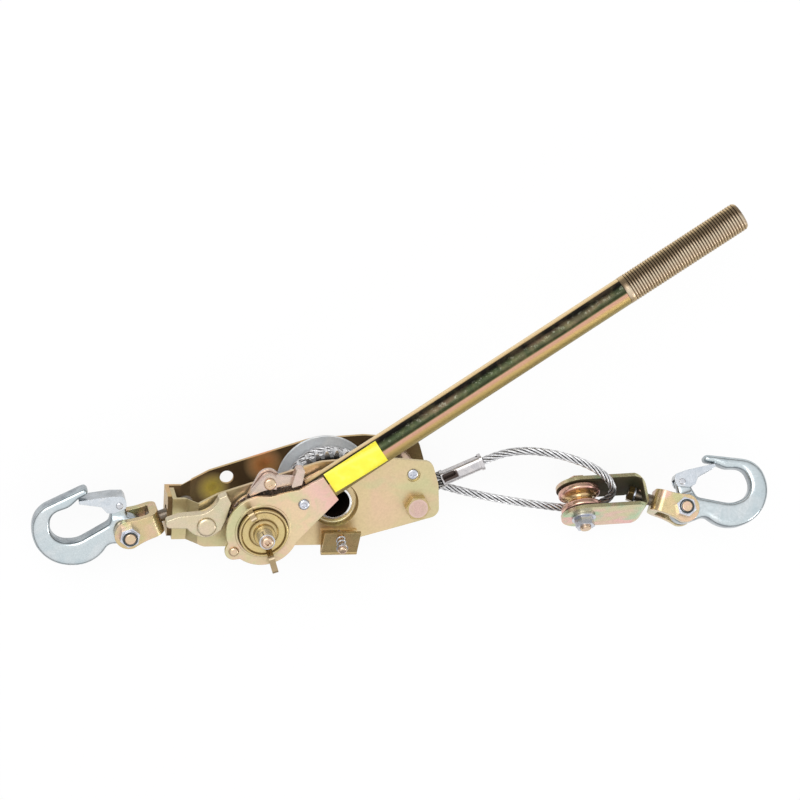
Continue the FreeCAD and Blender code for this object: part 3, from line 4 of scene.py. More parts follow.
import bmesh
import bpy
from mathutils import Matrix, Vector


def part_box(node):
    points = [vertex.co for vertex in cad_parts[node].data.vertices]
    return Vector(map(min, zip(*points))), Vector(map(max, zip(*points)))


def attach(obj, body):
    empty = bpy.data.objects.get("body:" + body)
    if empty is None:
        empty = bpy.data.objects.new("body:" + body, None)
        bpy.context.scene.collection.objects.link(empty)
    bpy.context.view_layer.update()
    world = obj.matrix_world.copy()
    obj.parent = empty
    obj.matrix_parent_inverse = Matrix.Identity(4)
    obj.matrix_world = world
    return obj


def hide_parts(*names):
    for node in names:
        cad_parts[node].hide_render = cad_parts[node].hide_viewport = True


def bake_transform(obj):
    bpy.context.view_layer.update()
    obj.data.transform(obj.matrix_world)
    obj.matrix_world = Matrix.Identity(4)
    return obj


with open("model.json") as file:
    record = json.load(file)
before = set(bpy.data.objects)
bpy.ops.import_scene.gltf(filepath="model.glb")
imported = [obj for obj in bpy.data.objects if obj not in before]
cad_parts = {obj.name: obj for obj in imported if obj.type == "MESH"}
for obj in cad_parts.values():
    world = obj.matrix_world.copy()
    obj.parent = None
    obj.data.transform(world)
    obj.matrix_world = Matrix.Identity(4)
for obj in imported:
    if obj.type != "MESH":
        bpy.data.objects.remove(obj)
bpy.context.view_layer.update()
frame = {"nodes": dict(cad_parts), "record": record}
scene = bpy.context.scene
scene.view_settings.view_transform = "Standard"

# The view: the winch lies on its back, seen from nearly overhead in a square picture that
# takes in both hooks. Places are measured from the drum's axis, at the front plate's face.
flange_low, flange_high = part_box("drum_flange")
drum_face = Vector(((flange_low[0] + flange_high[0]) / 2, (flange_low[1] + flange_high[1]) / 2,
                    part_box("side_plate_front")[1][2]))
across = Vector((0.97515, 0.07286, 0.20923))
upward = Vector((0.0, 0.94438, -0.32887))
backward = Vector((-0.22155, 0.32069, 0.92091))
right_shift, up_shift, camera_distance = 0.0461, 0.0738, 1.5
sensor_width, focal_pixels, picture_width = 36, 2115, 800
camera = bpy.data.objects.new("camera", bpy.data.cameras.new("camera"))
scene.collection.objects.link(camera)
camera.matrix_world = (
    Matrix.Translation(drum_face + across * right_shift + upward * up_shift
                       + backward * camera_distance)
    @ Matrix((across, upward, backward)).transposed().to_4x4())
camera.data.lens = sensor_width * focal_pixels / picture_width
camera.data.clip_end = 20
scene.camera = camera


# The wire rope: six strands laid round a core, galvanised. It is wound on the drum, runs out
# round the sheave and comes back to the ferrule, slack as it lies. An eye goes round a bolt.
def node(tree, kind, inputs=None, **settings):
    """A shader node with its settings made and its inputs set or linked."""
    made = tree.nodes.new(kind)
    for name, value in settings.items():
        setattr(made, name, value)
    for name, value in (inputs or {}).items():
        if isinstance(value, bpy.types.NodeSocket):
            tree.links.new(value, made.inputs[name])
        else:
            made.inputs[name].default_value = value
    return made


def blended(tree, share, first, second, kind="MIX"):
    """One colour laid over another, by a mask or a plain share."""
    mix = node(tree, "ShaderNodeMix", {0: share, 6: first, 7: second}, data_type="RGBA",
               blend_type=kind)
    return mix.outputs[2]


def math_of(tree, operation, first, second=0.0, clamp=False):
    """One sum on one or two values."""
    return node(tree, "ShaderNodeMath", {0: first, 1: second}, operation=operation,
                use_clamp=clamp).outputs[0]


def product(tree, first, *others):
    """Masks or values multiplied together."""
    for other in others:
        first = math_of(tree, "MULTIPLY", first, other)
    return first


def ranged(tree, value, low, high, to_low=0.0, to_high=1.0):
    """A value stretched from one span to another, and held at its ends."""
    return node(tree, "ShaderNodeMapRange",
                {"Value": value, "From Min": low, "From Max": high, "To Min": to_low,
                 "To Max": to_high}).outputs[0]


def spot_on(tree):
    """The place of a point on the piece, at rest."""
    return node(tree, "ShaderNodeTexCoord").outputs["Object"]


def parts_of(tree, vector):
    """A vector's three parts."""
    return node(tree, "ShaderNodeSeparateXYZ", {0: vector}).outputs


def noise(tree, place, scale, detail, **more):
    """Soft random patches from 0 to 1, with so many to a metre."""
    return node(tree, "ShaderNodeTexNoise",
                {"Vector": place, "Scale": scale, "Detail": detail, **more}).outputs["Fac"]


def new_finish(name, metallic, roughness, **more):
    """A material with its one surface shader, and the tree to build on."""
    finish = bpy.data.materials.new(name)
    finish.use_nodes = True
    surface = finish.node_tree.nodes["Principled BSDF"]
    surface.inputs["Metallic"].default_value = metallic
    surface.inputs["Roughness"].default_value = roughness
    for label, value in more.items():
        surface.inputs[label.replace("_", " ")].default_value = value
    return finish, finish.node_tree, surface


def feed(tree, surface, **values):
    """Masks and colours joined to the surface shader's sockets of these names."""
    for label, value in values.items():
        tree.links.new(value, surface.inputs[label.replace("_", " ")])


def relief(tree, surface, height, strength, depth=0.0001):
    """Fine height laid over the surface."""
    bump = node(tree, "ShaderNodeBump", {"Strength": strength, "Distance": depth,
                                         "Height": height})
    feed(tree, surface, Normal=bump.outputs[0])


def winch(x, y, z):
    """A point on the winch's own axes, which start on the drum's axis, in millimetres."""
    return drum_face + Vector((x, y, z)) / 1000


def spline_line(route, spacing):
    """Evenly spaced points of the smooth line that a route's NURBS spline draws."""
    curve = bpy.data.curves.new("route", "CURVE")
    curve.dimensions = "3D"
    curve.resolution_u = 40
    spline = curve.splines.new("NURBS")
    spline.points.add(len(route) - 1)
    for spot, place in zip(spline.points, route):
        spot.co = (*place, 1)
    spline.order_u = 3
    spline.use_endpoint_u = True
    holder = bpy.data.objects.new("route", curve)
    scene.collection.objects.link(holder)
    mesh = bpy.data.meshes.new_from_object(holder)
    fine = [vertex.co.copy() for vertex in mesh.vertices]
    bpy.data.objects.remove(holder)
    bpy.data.meshes.remove(mesh)
    line = [fine[0]]
    behind = 0.0
    for first, second in zip(fine, fine[1:]):
        step = (second - first).length
        while behind + step >= spacing:
            first = first.lerp(second, (spacing - behind) / step)
            line.append(first)
            step = (second - first).length
            behind = 0.0
        behind += step
    if (line[-1] - fine[-1]).length < spacing / 2:
        line.pop()
    return line + [fine[-1]]


strand_radius = 0.00102
strand_centre = 0.00197
strand_sides = 10
core_radius = 0.00105
rope_lay = 0.034
wire_lay = 0.012
ring_spacing = 0.0016


def along_line(line, twist):
    """Each point with two directions square to the line, and the strands' turn there."""
    stations = []
    side = (line[1] - line[0]).orthogonal().normalized()
    travelled = 0.0
    for index, point in enumerate(line):
        ahead = line[min(index + 1, len(line) - 1)] - line[max(index - 1, 0)]
        ahead.normalize()
        side = (side - ahead * side.dot(ahead)).normalized()
        if index:
            travelled += (point - line[index - 1]).length
        stations.append((point, side.copy(), ahead.cross(side),
                         twist + travelled / rope_lay * 2 * math.pi, travelled))
    return stations


def laid_rope(name, stations, material):
    """Six round strands and a core swept along the stations, as one mesh."""
    mesh = bmesh.new()
    lay_map = mesh.loops.layers.uv.new("lay")
    strands = [(strand_centre, strand_radius, strand * math.pi / 3) for strand in range(6)]
    strands.append((0.0, core_radius, 0.0))
    for reach, radius, start in strands:
        rings = []
        for point, side, other, turn, travelled in stations:
            angle = start + turn
            middle = point + (side * math.cos(angle) + other * math.sin(angle)) * reach
            ring = []
            for corner in range(strand_sides):
                bearing = angle + corner / strand_sides * 2 * math.pi
                ring.append(mesh.verts.new(
                    middle + (side * math.cos(bearing) + other * math.sin(bearing)) * radius))
            rings.append((ring, travelled))
        for (ring, here), (after, there) in zip(rings, rings[1:]):
            for corner in range(strand_sides):
                beyond = (corner + 1) % strand_sides
                face = mesh.faces.new((ring[corner], ring[beyond], after[beyond],
                                       after[corner]))
                spots = ((corner, here), (corner + 1, here), (corner + 1, there),
                         (corner, there))
                for loop, (turned, distance) in zip(face.loops, spots):
                    loop[lay_map].uv = (turned / strand_sides, distance / wire_lay)
                face.smooth = True
        mesh.faces.new(list(reversed(rings[0][0])))
        mesh.faces.new(rings[-1][0])
    bmesh.ops.recalc_face_normals(mesh, faces=mesh.faces)
    data = bpy.data.meshes.new(name)
    mesh.to_mesh(data)
    mesh.free()
    rope = bpy.data.objects.new(name, data)
    scene.collection.objects.link(rope)
    data.materials.append(material)
    return rope


def rope_finish(name, dull, pale):
    """Galvanised wires along each strand, with painted shade between the wires and strands."""
    finish, tree, surface = new_finish(name, 0.92, 0.34)
    wires_seen, wire_slant = 7.0, 2.0
    round_strand, along_strand, _ = parts_of(
        tree, node(tree, "ShaderNodeUVMap", uv_map="lay").outputs[0])
    wire = math_of(tree, "ADD", product(tree, round_strand, wires_seen),
                   product(tree, along_strand, wire_slant))
    wave = math_of(tree, "SINE", product(tree, wire, 2 * math.pi))
    spot = spot_on(tree)
    grain = noise(tree, spot, 520.0, 3.0)
    patches = noise(tree, spot, 90.0, 4.0)
    colour = blended(tree, ranged(tree, grain, 0.32, 0.60), dull, pale)
    colour = blended(tree, ranged(tree, patches, 0.56, 0.74, 0.0, 0.45), colour,
                     (0.34, 0.31, 0.27, 1))
    # Painted shade in the grooves between the wires.
    colour = blended(tree, ranged(tree, wave, -1.0, -0.3, 0.62, 1.0),
                     (0.22, 0.21, 0.20, 1), colour)
    # Painted shade on each strand's inner side, where the strands meet.
    outward = math_of(tree, "COSINE", product(tree, round_strand, 2 * math.pi))
    colour = blended(tree, ranged(tree, outward, 0.02, 0.62), (0.025, 0.022, 0.020, 1), colour)
    feed(tree, surface, Base_Color=colour,
         Roughness=ranged(tree, grain, 0.3, 0.7, 0.26, 0.42))
    relief(tree, surface, wave, 0.3)
    return finish


rope_wire = rope_finish("galvanised_rope", (0.52, 0.52, 0.53, 1), (0.86, 0.86, 0.87, 1))
eye_wire = rope_finish("rope_in_shade", (0.20, 0.19, 0.18, 1), (0.36, 0.35, 0.34, 1))

# The winding's own line: twelve route points to a turn, outside the drum's plain core. The
# free run's points follow it, out to the sheave, round it and back to the ferrule.
winding_reach = 27.12
winding_pitch = 6.6
winding_end = -39.75
winding_turns = 3.0
exit_angle = 74.0
turn_points = 12
turn_step = 360 / turn_points
winding_route = []
for corner in range(int(winding_turns * turn_points)):
    degrees = exit_angle + 360 * winding_turns - turn_step / 2 - turn_step * corner
    level = winding_end + winding_pitch * (degrees - exit_angle) / 360
    winding_route.append(winch(winding_reach * math.cos(math.radians(degrees)),
                               winding_reach * math.sin(math.radians(degrees)), level))
run_route = [
    winch(13.36, 23.42, -40.0), winch(22.6, 20.8, -40.3), winch(40, 15.0, -38.5),
    winch(70, 4.0, -36.9), winch(100, -4.9, -35.9), winch(128, -11.2, -35.1),
    winch(154, -15.2, -34.2), winch(176, -18.2, -33.4), winch(191, -19.0, -33.0),
    winch(203, -17.2, -32.0), winch(211, -11.0, -27.6), winch(213.4, -2.5, -20.5),
    winch(210.3, 7.2, -14.5), winch(202, 16.2, -12.2), winch(191, 22.9, -13.0),
    winch(176, 28.2, -14.7), winch(160, 31.5, -16.8), winch(145, 32.5, -19.2),
    winch(131.5, 30.2, -22.8), winch(120.5, 26.1, -24.4), winch(112.4, 22.4, -24.5)]
rope_line = spline_line(winding_route + run_route, ring_spacing)
leaving = min(range(len(rope_line)), key=lambda i: (rope_line[i] - run_route[0]).length)
rope_stations = along_line(rope_line, 0.4)
winding = laid_rope("wound_rope", rope_stations[:leaving + 1], rope_wire)
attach(winding, "drum")
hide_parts("rope_winding")
run = laid_rope("free_rope", rope_stations[leaving:], rope_wire)
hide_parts("rope_run")
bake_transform(run)

# The eye's line, on axes that start at its bolt and turn toward the ferrule. The frame keeps
# it in shade.
anchor_place = (59.5, -1.8, -24.5)
ferrule_turn = math.radians(24.6)
eye_axes = Matrix.Translation(winch(*anchor_place)) @ Matrix.Rotation(ferrule_turn, 4, "Z")
eye_reach = 8.5
eye_start = 78.3
eye_step = 29.06
eye_route = [(25.6, 3.15), (14.5, 5.45)]
for corner in range(7):
    bearing = math.radians(eye_start + eye_step / 2 + eye_step * corner)
    eye_route.append((eye_reach * math.cos(bearing), eye_reach * math.sin(bearing)))
eye_route += [(14.5, -5.45), (25.6, -3.15)]
eye_line = spline_line([eye_axes @ Vector((x / 1000, y / 1000, 0)) for x, y in eye_route],
                       ring_spacing)
eye = laid_rope("rope_eye_strands", along_line(eye_line, 0.0), eye_wire)
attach(eye, "frame")
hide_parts("rope_eye")


# The floor is plain and pale, and keeps a soft shadow of the winch. A wide lamp to the upper
# left, a small one to the right and a pale room light it.
def ramp(tree, value, stops):
    """A colour ramp with its stops given as (place, colour)."""
    made = node(tree, "ShaderNodeValToRGB", {"Fac": value})
    band = made.color_ramp.elements
    while len(band) > 1:
        band.remove(band[-1])
    band[0].position, band[0].color = stops[0][0], (*stops[0][1], 1)
    for place, colour in stops[1:]:
        band.new(place).color = (*colour, 1)
    return made.outputs[0]


bpy.ops.object.select_all(action="DESELECT")
bpy.ops.mesh.primitive_plane_add(size=6, location=(0, 0, 0))
floor = bpy.context.object
floor.name = "floor"
pale_floor = bpy.data.materials.new("pale_floor")
pale_floor.use_nodes = True
tree = pale_floor.node_tree
tree.nodes.clear()
rays = node(tree, "ShaderNodeLightPath")
seen = product(tree, rays.outputs["Is Camera Ray"], 0.9)
mirrored = math_of(tree, "ADD", rays.outputs["Is Glossy Ray"],
                   rays.outputs["Is Transmission Ray"])
share = math_of(tree, "ADD", seen, product(tree, mirrored, 0.35), clamp=True)
matt = node(tree, "ShaderNodeBsdfDiffuse", {"Color": (0.86, 0.86, 0.86, 1)})
glow = node(tree, "ShaderNodeEmission", {"Color": (1, 1, 1, 1), "Strength": 1.0})
both = node(tree, "ShaderNodeMixShader", {0: share, 1: matt.outputs[0], 2: glow.outputs[0]})
node(tree, "ShaderNodeOutputMaterial", {"Surface": both.outputs[0]})
floor.data.materials.append(pale_floor)

room = bpy.data.worlds.new("pale_room")
scene.world = room
room.use_nodes = True
tree = room.node_tree
tree.nodes.clear()
heights = parts_of(tree, node(tree, "ShaderNodeTexCoord").outputs["Generated"])
walls = ramp(tree, ranged(tree, heights[2], -1.0, 1.0), [
    (0.0, (0.4, 0.4, 0.4)), (0.50, (0.12, 0.115, 0.11)), (0.60, (0.20, 0.19, 0.18)),
    (0.72, (0.52, 0.52, 0.52)), (0.84, (0.88, 0.88, 0.9)), (1.0, (1.0, 1.0, 1.0))])
seen = node(tree, "ShaderNodeLightPath").outputs["Is Camera Ray"]
room_light = node(tree, "ShaderNodeBackground",
                  {"Color": blended(tree, seen, walls, (1, 1, 1, 1)),
                   "Strength": ranged(tree, seen, 0.0, 1.0, 1.16, 1.0)})
node(tree, "ShaderNodeOutputWorld", {"Surface": room_light.outputs[0]})


def soft_lamp(name, spot, aim, width, power):
    """A square lamp that faces a point."""
    light = bpy.data.lights.new(name, "AREA")
    light.size = width
    light.energy = power
    lamp = bpy.data.objects.new(name, light)
    scene.collection.objects.link(lamp)
    lamp.location = spot
    lamp.rotation_euler = (Vector(aim) - Vector(spot)).to_track_quat("-Z", "Y").to_euler()


soft_lamp("key_lamp", (-0.75, 0.95, 1.5), (0, 0, 0), 1.3, 15.0)
soft_lamp("side_lamp", (1.3, -0.6, 0.9), (0.05, 0, 0), 0.5, 5.0)

# The zinc finish that most pieces share: patches of gold, rose and green in the passivated
# layer, a fine sparkle, dull brown spots, and a slightly uneven skin.
bloom = bpy.data.node_groups.new("zinc_bloom", "ShaderNodeTree")
for label, kind, value in (
        ("Base", "NodeSocketColor", (0.55, 0.41, 0.19, 1)),
        ("Warm", "NodeSocketColor", (0.67, 0.35, 0.26, 1)),
        ("Cool", "NodeSocketColor", (0.43, 0.43, 0.16, 1)),
        ("Dark", "NodeSocketColor", (0.20, 0.12, 0.05, 1)),
        ("Patches", "NodeSocketFloat", 34.0), ("Strength", "NodeSocketFloat", 0.6),
        ("Spots", "NodeSocketFloat", 0.5), ("Shine", "NodeSocketFloat", 0.34)):
    bloom.interface.new_socket(label, in_out="INPUT", socket_type=kind).default_value = value
for label, kind in (("Colour", "NodeSocketColor"), ("Roughness", "NodeSocketFloat"),
                    ("Height", "NodeSocketFloat")):
    bloom.interface.new_socket(label, in_out="OUTPUT", socket_type=kind)
given = node(bloom, "NodeGroupInput").outputs
spot = spot_on(bloom)
moved = node(bloom, "ShaderNodeVectorMath", {0: spot, 1: (0.37, 0.81, 0.23)},
             operation="ADD").outputs[0]
warm_noise = noise(bloom, spot, given["Patches"], 3.0, Distortion=1.3)
cool_noise = noise(bloom, moved, product(bloom, given["Patches"], 1.7), 3.0, Distortion=0.9)
grain = noise(bloom, spot, 700.0, 2.0)
speck = noise(bloom, moved, 260.0, 4.0, Roughness=0.7)
tint = blended(bloom, product(bloom, ranged(bloom, warm_noise, 0.46, 0.64), given["Strength"]),
               given["Base"], given["Warm"])
tint = blended(bloom, product(bloom, ranged(bloom, cool_noise, 0.48, 0.66), given["Strength"]),
               tint, given["Cool"])
tint = blended(bloom, product(bloom, ranged(bloom, speck, 0.60, 0.76), given["Spots"]),
               tint, given["Dark"])
sparkle = ranged(bloom, grain, 0.3, 0.7, 0.95, 1.05)
grey = node(bloom, "ShaderNodeCombineXYZ", {0: sparkle, 1: sparkle, 2: sparkle}).outputs[0]
tint = blended(bloom, 1.0, tint, grey, "MULTIPLY")
gloss = math_of(bloom, "ADD", given["Shine"], ranged(bloom, speck, 0.3, 0.75, -0.04, 0.08))
skin = math_of(bloom, "ADD", grain, product(bloom, speck, 1.5))
node(bloom, "NodeGroupOutput", {"Colour": tint, "Roughness": gloss, "Height": skin})


def zinc(name, base, warm, cool, dark=(0.20, 0.12, 0.05), patches=34.0, strength=0.6, spots=0.3,
         shine=0.30, metallic=0.88, bump=0.05, base_from=None, shaded=None, matt=0.0):
    """A plated finish with its own tints. base_from may give a colour that changes in place,
    and shaded a mask of painted shade, where the colour goes dark and matt by the share given."""
    finish, tree, surface = new_finish(name, metallic, shine)
    layer = node(tree, "ShaderNodeGroup", node_tree=bloom)
    for label, value in (("Base", base), ("Warm", warm), ("Cool", cool), ("Dark", dark)):
        layer.inputs[label].default_value = (*value, 1)
    for label, value in (("Patches", patches), ("Strength", strength), ("Spots", spots),
                         ("Shine", shine)):
        layer.inputs[label].default_value = value
    if base_from:
        tree.links.new(base_from(tree), layer.inputs["Base"])
    colour = layer.outputs["Colour"]
    roughness = layer.outputs["Roughness"]
    if shaded:
        # The shaded mask is painted shade: it darkens the colour there.
        mask = shaded(tree)
        colour = blended(tree, mask, colour, (*dark, 1))
        if matt:
            kept = 1 - matt
            feed(tree, surface,
                 Metallic=ranged(tree, mask, 0.0, 1.0, metallic, metallic * kept),
                 Specular_IOR_Level=ranged(tree, mask, 0.0, 1.0, 0.5, 0.5 * kept))
            roughness = math_of(tree, "ADD", roughness,
                                ranged(tree, mask, 0.0, 1.0, 0.0, 0.6 * matt))
    feed(tree, surface, Base_Color=colour, Roughness=roughness)
    relief(tree, surface, layer.outputs["Height"], bump)
    return finish


def shaded_sides(outward, depth=0.8):
    """A mask of painted shade on the faces that turn away from a piece's flat side, in streaks.
    """
    def mask(tree):
        facing = node(tree, "ShaderNodeVectorMath",
                      {0: node(tree, "ShaderNodeNewGeometry").outputs["Normal"],
                       1: tuple(outward)}, operation="DOT_PRODUCT").outputs["Value"]
        streaks = noise(tree, spot_on(tree), 130.0, 3.0)
        return product(tree, ranged(tree, math_of(tree, "ABSOLUTE", facing), 0.92, 0.25),
                       ranged(tree, streaks, 0.38, 0.66, depth * 0.45, depth))
    return mask


def choose(piece):
    """Only this piece is selected and active."""
    bpy.ops.object.select_all(action="DESELECT")
    piece.select_set(True)
    bpy.context.view_layer.objects.active = piece


home = {name: body for body, names in frame["record"]["behaviour"]["bodies"].items()
        for name in names}


def merged_copy(node_name, piece_name):
    """A node's shape as a new piece, with its loose triangles joined into faces."""
    shape = bmesh.new()
    shape.from_mesh(frame["nodes"][node_name].data)
    bmesh.ops.remove_doubles(shape, verts=shape.verts, dist=0.000008)
    bmesh.ops.dissolve_limit(shape, angle_limit=math.radians(0.4), verts=shape.verts,
                             edges=shape.edges)
    data = bpy.data.meshes.new(piece_name)
    shape.to_mesh(data)
    shape.free()
    piece = bpy.data.objects.new(piece_name, data)
    scene.collection.objects.link(piece)
    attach(piece, home[node_name])
    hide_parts(node_name)
    return piece


def eased(node_name, finish, edge=0.35, corner=32.0, segments=2):
    """A node's own shape with its sharp edges rounded by so many millimetres, as tumbling
    leaves them. Edges that turn by less than the corner, in degrees, stay."""
    piece = merged_copy(node_name, node_name + "_eased")
    piece.data.materials.append(finish)
    choose(piece)
    rounding = piece.modifiers.new("edges", "BEVEL")
    rounding.width = edge / 1000
    rounding.segments = segments
    rounding.limit_method = "ANGLE"
    rounding.angle_limit = math.radians(corner)
    rounding.use_clamp_overlap = True
    bpy.ops.object.modifier_apply(modifier=rounding.name)
    bpy.ops.object.shade_smooth_by_angle(angle=math.radians(48))
    weights = piece.modifiers.new("normals", "WEIGHTED_NORMAL")
    weights.keep_sharp = True
    bpy.ops.object.modifier_apply(modifier=weights.name)
    return piece


def finished(node_name, finish):
    """A node whose shape stays, in its finish."""
    piece = frame["nodes"][node_name]
    piece.data.materials.clear()
    piece.data.materials.append(finish)


# The side plates are pressed from 3 mm sheet, joggled in at one end and turned across to make
# the end wall. Their yellow zinc is greenish gold at both ends, pinkish between the wall and
# the drum and tan round it. Their inner faces, toward the rope, carry painted shade, and the
# rear plate's inner face painted pools of light.
gold = (0.55, 0.41, 0.19)
glow_spots = (((-45, 13, -46), 0.015, (0.85, 0.33, 0.10, 1)),
              ((-81, -5, -46), 0.013, (0.80, 0.60, 0.10, 1)))


def distance_to(tree, spot, place):
    """How far a place is from a point on the winch's axes."""
    return node(tree, "ShaderNodeVectorMath", {0: spot, 1: winch(*place)},
                operation="DISTANCE").outputs["Value"]


def plate_tints(tree):
    """The plates' tints along their length, with a wavy border."""
    spot = spot_on(tree)
    wobble = noise(tree, spot, 26.0, 2.0)
    shifted = math_of(tree, "ADD", parts_of(tree, spot)[0], product(tree, wobble, 0.03))
    return ramp(tree, ranged(tree, shifted, drum_face.x - 0.12, drum_face.x + 0.12), [
        (0.0, (0.52, 0.45, 0.24)), (0.22, (0.56, 0.45, 0.25)), (0.36, (0.62, 0.46, 0.29)),
        (0.52, (0.64, 0.50, 0.28)), (0.72, (0.65, 0.52, 0.30)), (0.86, (0.60, 0.51, 0.29)),
        (1.0, (0.52, 0.47, 0.25))])


def plate_inside(front):
    """A mask of painted shade on a side plate's faces toward the rope and on the end wall's inner
    face. On the rear plate it leaves out the spots of painted light."""
    def mask(tree):
        facing = parts_of(tree, node(tree, "ShaderNodeNewGeometry").outputs["True Normal"])
        spot = spot_on(tree)
        clouds = noise(tree, spot, 24.0, 1.0)
        inner = ranged(tree, product(tree, facing[2], -1.0 if front else 1.0), 0.3, 0.5)
        wall = product(tree, ranged(tree, facing[0], 0.4, 0.6),
                       ranged(tree, parts_of(tree, spot)[0],
                              drum_face.x - 0.100, drum_face.x - 0.102))
        shade = product(tree, math_of(tree, "ADD", inner, wall, clamp=True),
                        ranged(tree, clouds, 0.42, 0.66, 0.97, 0.72))
        if not front:
            for place, reach, _ in glow_spots:
                away = distance_to(tree, spot, place)
                shade = product(tree, shade, ranged(tree, away, 0.002, reach, 0.1, 1.0))
        return shade
    return mask


def inner_tints(tree):
    """Orange and yellow where the rear plate's inner face catches the light, gold elsewhere."""
    spot = spot_on(tree)
    colour = (0.60, 0.42, 0.19, 1)
    for place, reach, tint in glow_spots:
        away = distance_to(tree, spot, place)
        colour = blended(tree, ranged(tree, away, 0.004, reach, 1.0, 0.0), colour, tint)
    return colour


plate_zinc = zinc("plate_zinc", gold, (0.72, 0.47, 0.35), (0.52, 0.53, 0.29),
                  dark=(0.022, 0.010, 0.006), patches=22.0, strength=0.5, spots=0.06,
                  shine=0.34, base_from=plate_tints, shaded=plate_inside(True), matt=0.8)
inner_zinc = zinc("inner_plate_zinc", (0.66, 0.42, 0.17), (0.72, 0.30, 0.12), (0.50, 0.44, 0.12),
                  dark=(0.045, 0.024, 0.010), patches=30.0, strength=0.3, spots=0.1, shine=0.30,
                  base_from=inner_tints, shaded=plate_inside(False), matt=0.85)
eased("side_plate_front", plate_zinc, 0.6)
eased("side_plate_rear", inner_zinc, 0.6)


# The frame's fasteners: the rope's anchor bolt with its pinkish gold hex head, the recessed
# spacer screw with its tube, and their nuts behind the rear plate.
def centred_on(tree, axis):
    """Places measured from a point on a piece's axis."""
    return node(tree, "ShaderNodeVectorMath", {0: spot_on(tree), 1: axis},
                operation="SUBTRACT").outputs[0]


def axis_reach(tree, centred):
    """The distance of centred places from the axis that stands up through their start."""
    flat = node(tree, "ShaderNodeVectorMath", {0: centred, 1: (1, 1, 0)}, operation="MULTIPLY")
    return node(tree, "ShaderNodeVectorMath", {0: flat.outputs[0]},
                operation="LENGTH").outputs["Value"]


def bolt_tints(tree):
    """Pinkish on the bolt head's round top and gold on its flats and chamfer."""
    reach = axis_reach(tree, centred_on(tree, winch(*anchor_place)))
    return ramp(tree, ranged(tree, reach, 0.005, 0.010), [
        (0.0, (0.60, 0.42, 0.36)), (0.36, (0.66, 0.48, 0.42)), (0.46, (0.46, 0.36, 0.16)),
        (1.0, (0.56, 0.43, 0.20))])


bolt_zinc = zinc("bolt_zinc", (0.66, 0.48, 0.33), (0.74, 0.48, 0.43), (0.60, 0.51, 0.31),
                 patches=110.0, strength=0.55, spots=0.1, shine=0.24)
nut_zinc = zinc("nut_zinc", (0.58, 0.60, 0.66), (0.66, 0.62, 0.60), (0.46, 0.50, 0.58),
                dark=(0.22, 0.22, 0.24), patches=170.0, strength=0.5, spots=0.25, shine=0.24)
anchor_zinc = zinc("anchor_bolt_zinc", gold, (0.74, 0.50, 0.44), (0.58, 0.50, 0.28),
                   patches=110.0, strength=0.25, spots=0.05, shine=0.26, base_from=bolt_tints)
eased("rope_anchor_bolt", anchor_zinc, 0.25)
eased("spacer_bolt", nut_zinc, 0.15)
eased("spacer_tube", bolt_zinc, 0.3)
eased("rope_anchor_nut", nut_zinc, 0.25)
eased("spacer_nut", nut_zinc, 0.2)

# The guard is a bent tab of 2 mm sheet below the drum, held by a small screw with a washer
# over a coil spring. It is browner than the plates.
guard_zinc = zinc("guard_zinc", (0.60, 0.43, 0.20), (0.66, 0.44, 0.22), (0.50, 0.42, 0.20),
                  patches=40.0, strength=0.6, spots=0.05, shine=0.28)
small_steel = zinc("small_steel", (0.56, 0.57, 0.60), (0.64, 0.62, 0.60), (0.42, 0.44, 0.48),
                   dark=(0.18, 0.17, 0.17), patches=200.0, strength=0.4, spots=0.3, shine=0.24)
eased("guard_tab", guard_zinc, 0.35)
eased("guard_screw", bolt_zinc, 0.15)
eased("guard_washer", nut_zinc, 0.15)
finished("guard_spring", small_steel)

# The holding pawl is a thick plated lever between the plates. It hangs on a riveted pin, and a
# coil spring presses it to the wheel.
pawl_zinc = zinc("pawl_zinc", (0.62, 0.53, 0.36), (0.68, 0.54, 0.42), (0.54, 0.54, 0.36),
                 patches=60.0, strength=0.5, spots=0.1, shine=0.28)
eased("holding_pawl", pawl_zinc, 0.7, segments=3)
eased("holding_pawl_pin", pawl_zinc, 0.25)
finished("holding_pawl_spring", small_steel)


# The drum turns on a tube through both plates. Its gear and rear flange are bright zinc,
# bluish, with painted shade in the tooth roots and the tube's bore.
def drum_reach(tree):
    """The distance of a place from the drum's axis."""
    return axis_reach(tree, centred_on(tree, drum_face))


def bore_shade(tree):
    """A mask of painted shade in the bearing tube's bore."""
    return ranged(tree, drum_reach(tree), 0.01108, 0.01098)


def tooth_roots(tree):
    """A mask of painted shade in the drum gear's tooth roots."""
    return ranged(tree, drum_reach(tree), 0.0336, 0.0322, 0.0, 0.9)


drum_zinc = zinc("drum_zinc", (0.60, 0.63, 0.67), (0.70, 0.69, 0.68), (0.48, 0.53, 0.58),
                 dark=(0.16, 0.16, 0.17), patches=60.0, strength=0.5, spots=0.15, shine=0.28)
flange_zinc = zinc("flange_zinc", (0.74, 0.76, 0.77), (0.80, 0.80, 0.79), (0.62, 0.66, 0.69),
                   dark=(0.3, 0.3, 0.32), patches=30.0, strength=0.5, spots=0.15, shine=0.38,
                   metallic=0.5)
gear_zinc = zinc("gear_zinc", (0.70, 0.71, 0.73), (0.76, 0.74, 0.72), (0.56, 0.58, 0.62),
                 dark=(0.05, 0.05, 0.05), patches=90.0, strength=0.4, spots=0.1, shine=0.22,
                 shaded=tooth_roots)
tube_end_zinc = zinc("tube_end_zinc", (0.80, 0.80, 0.80), (0.82, 0.78, 0.72), (0.7, 0.7, 0.68),
                     dark=(0.016, 0.010, 0.008), patches=120.0, strength=0.4, spots=0.0,
                     shine=0.20, shaded=bore_shade, matt=1.0)
eased("drum_gear", gear_zinc, 0.3)
eased("drum_flange", flange_zinc, 0.4)
eased("drum_core", drum_zinc, 0.2)
eased("drum_tube", tube_end_zinc, 0.35)
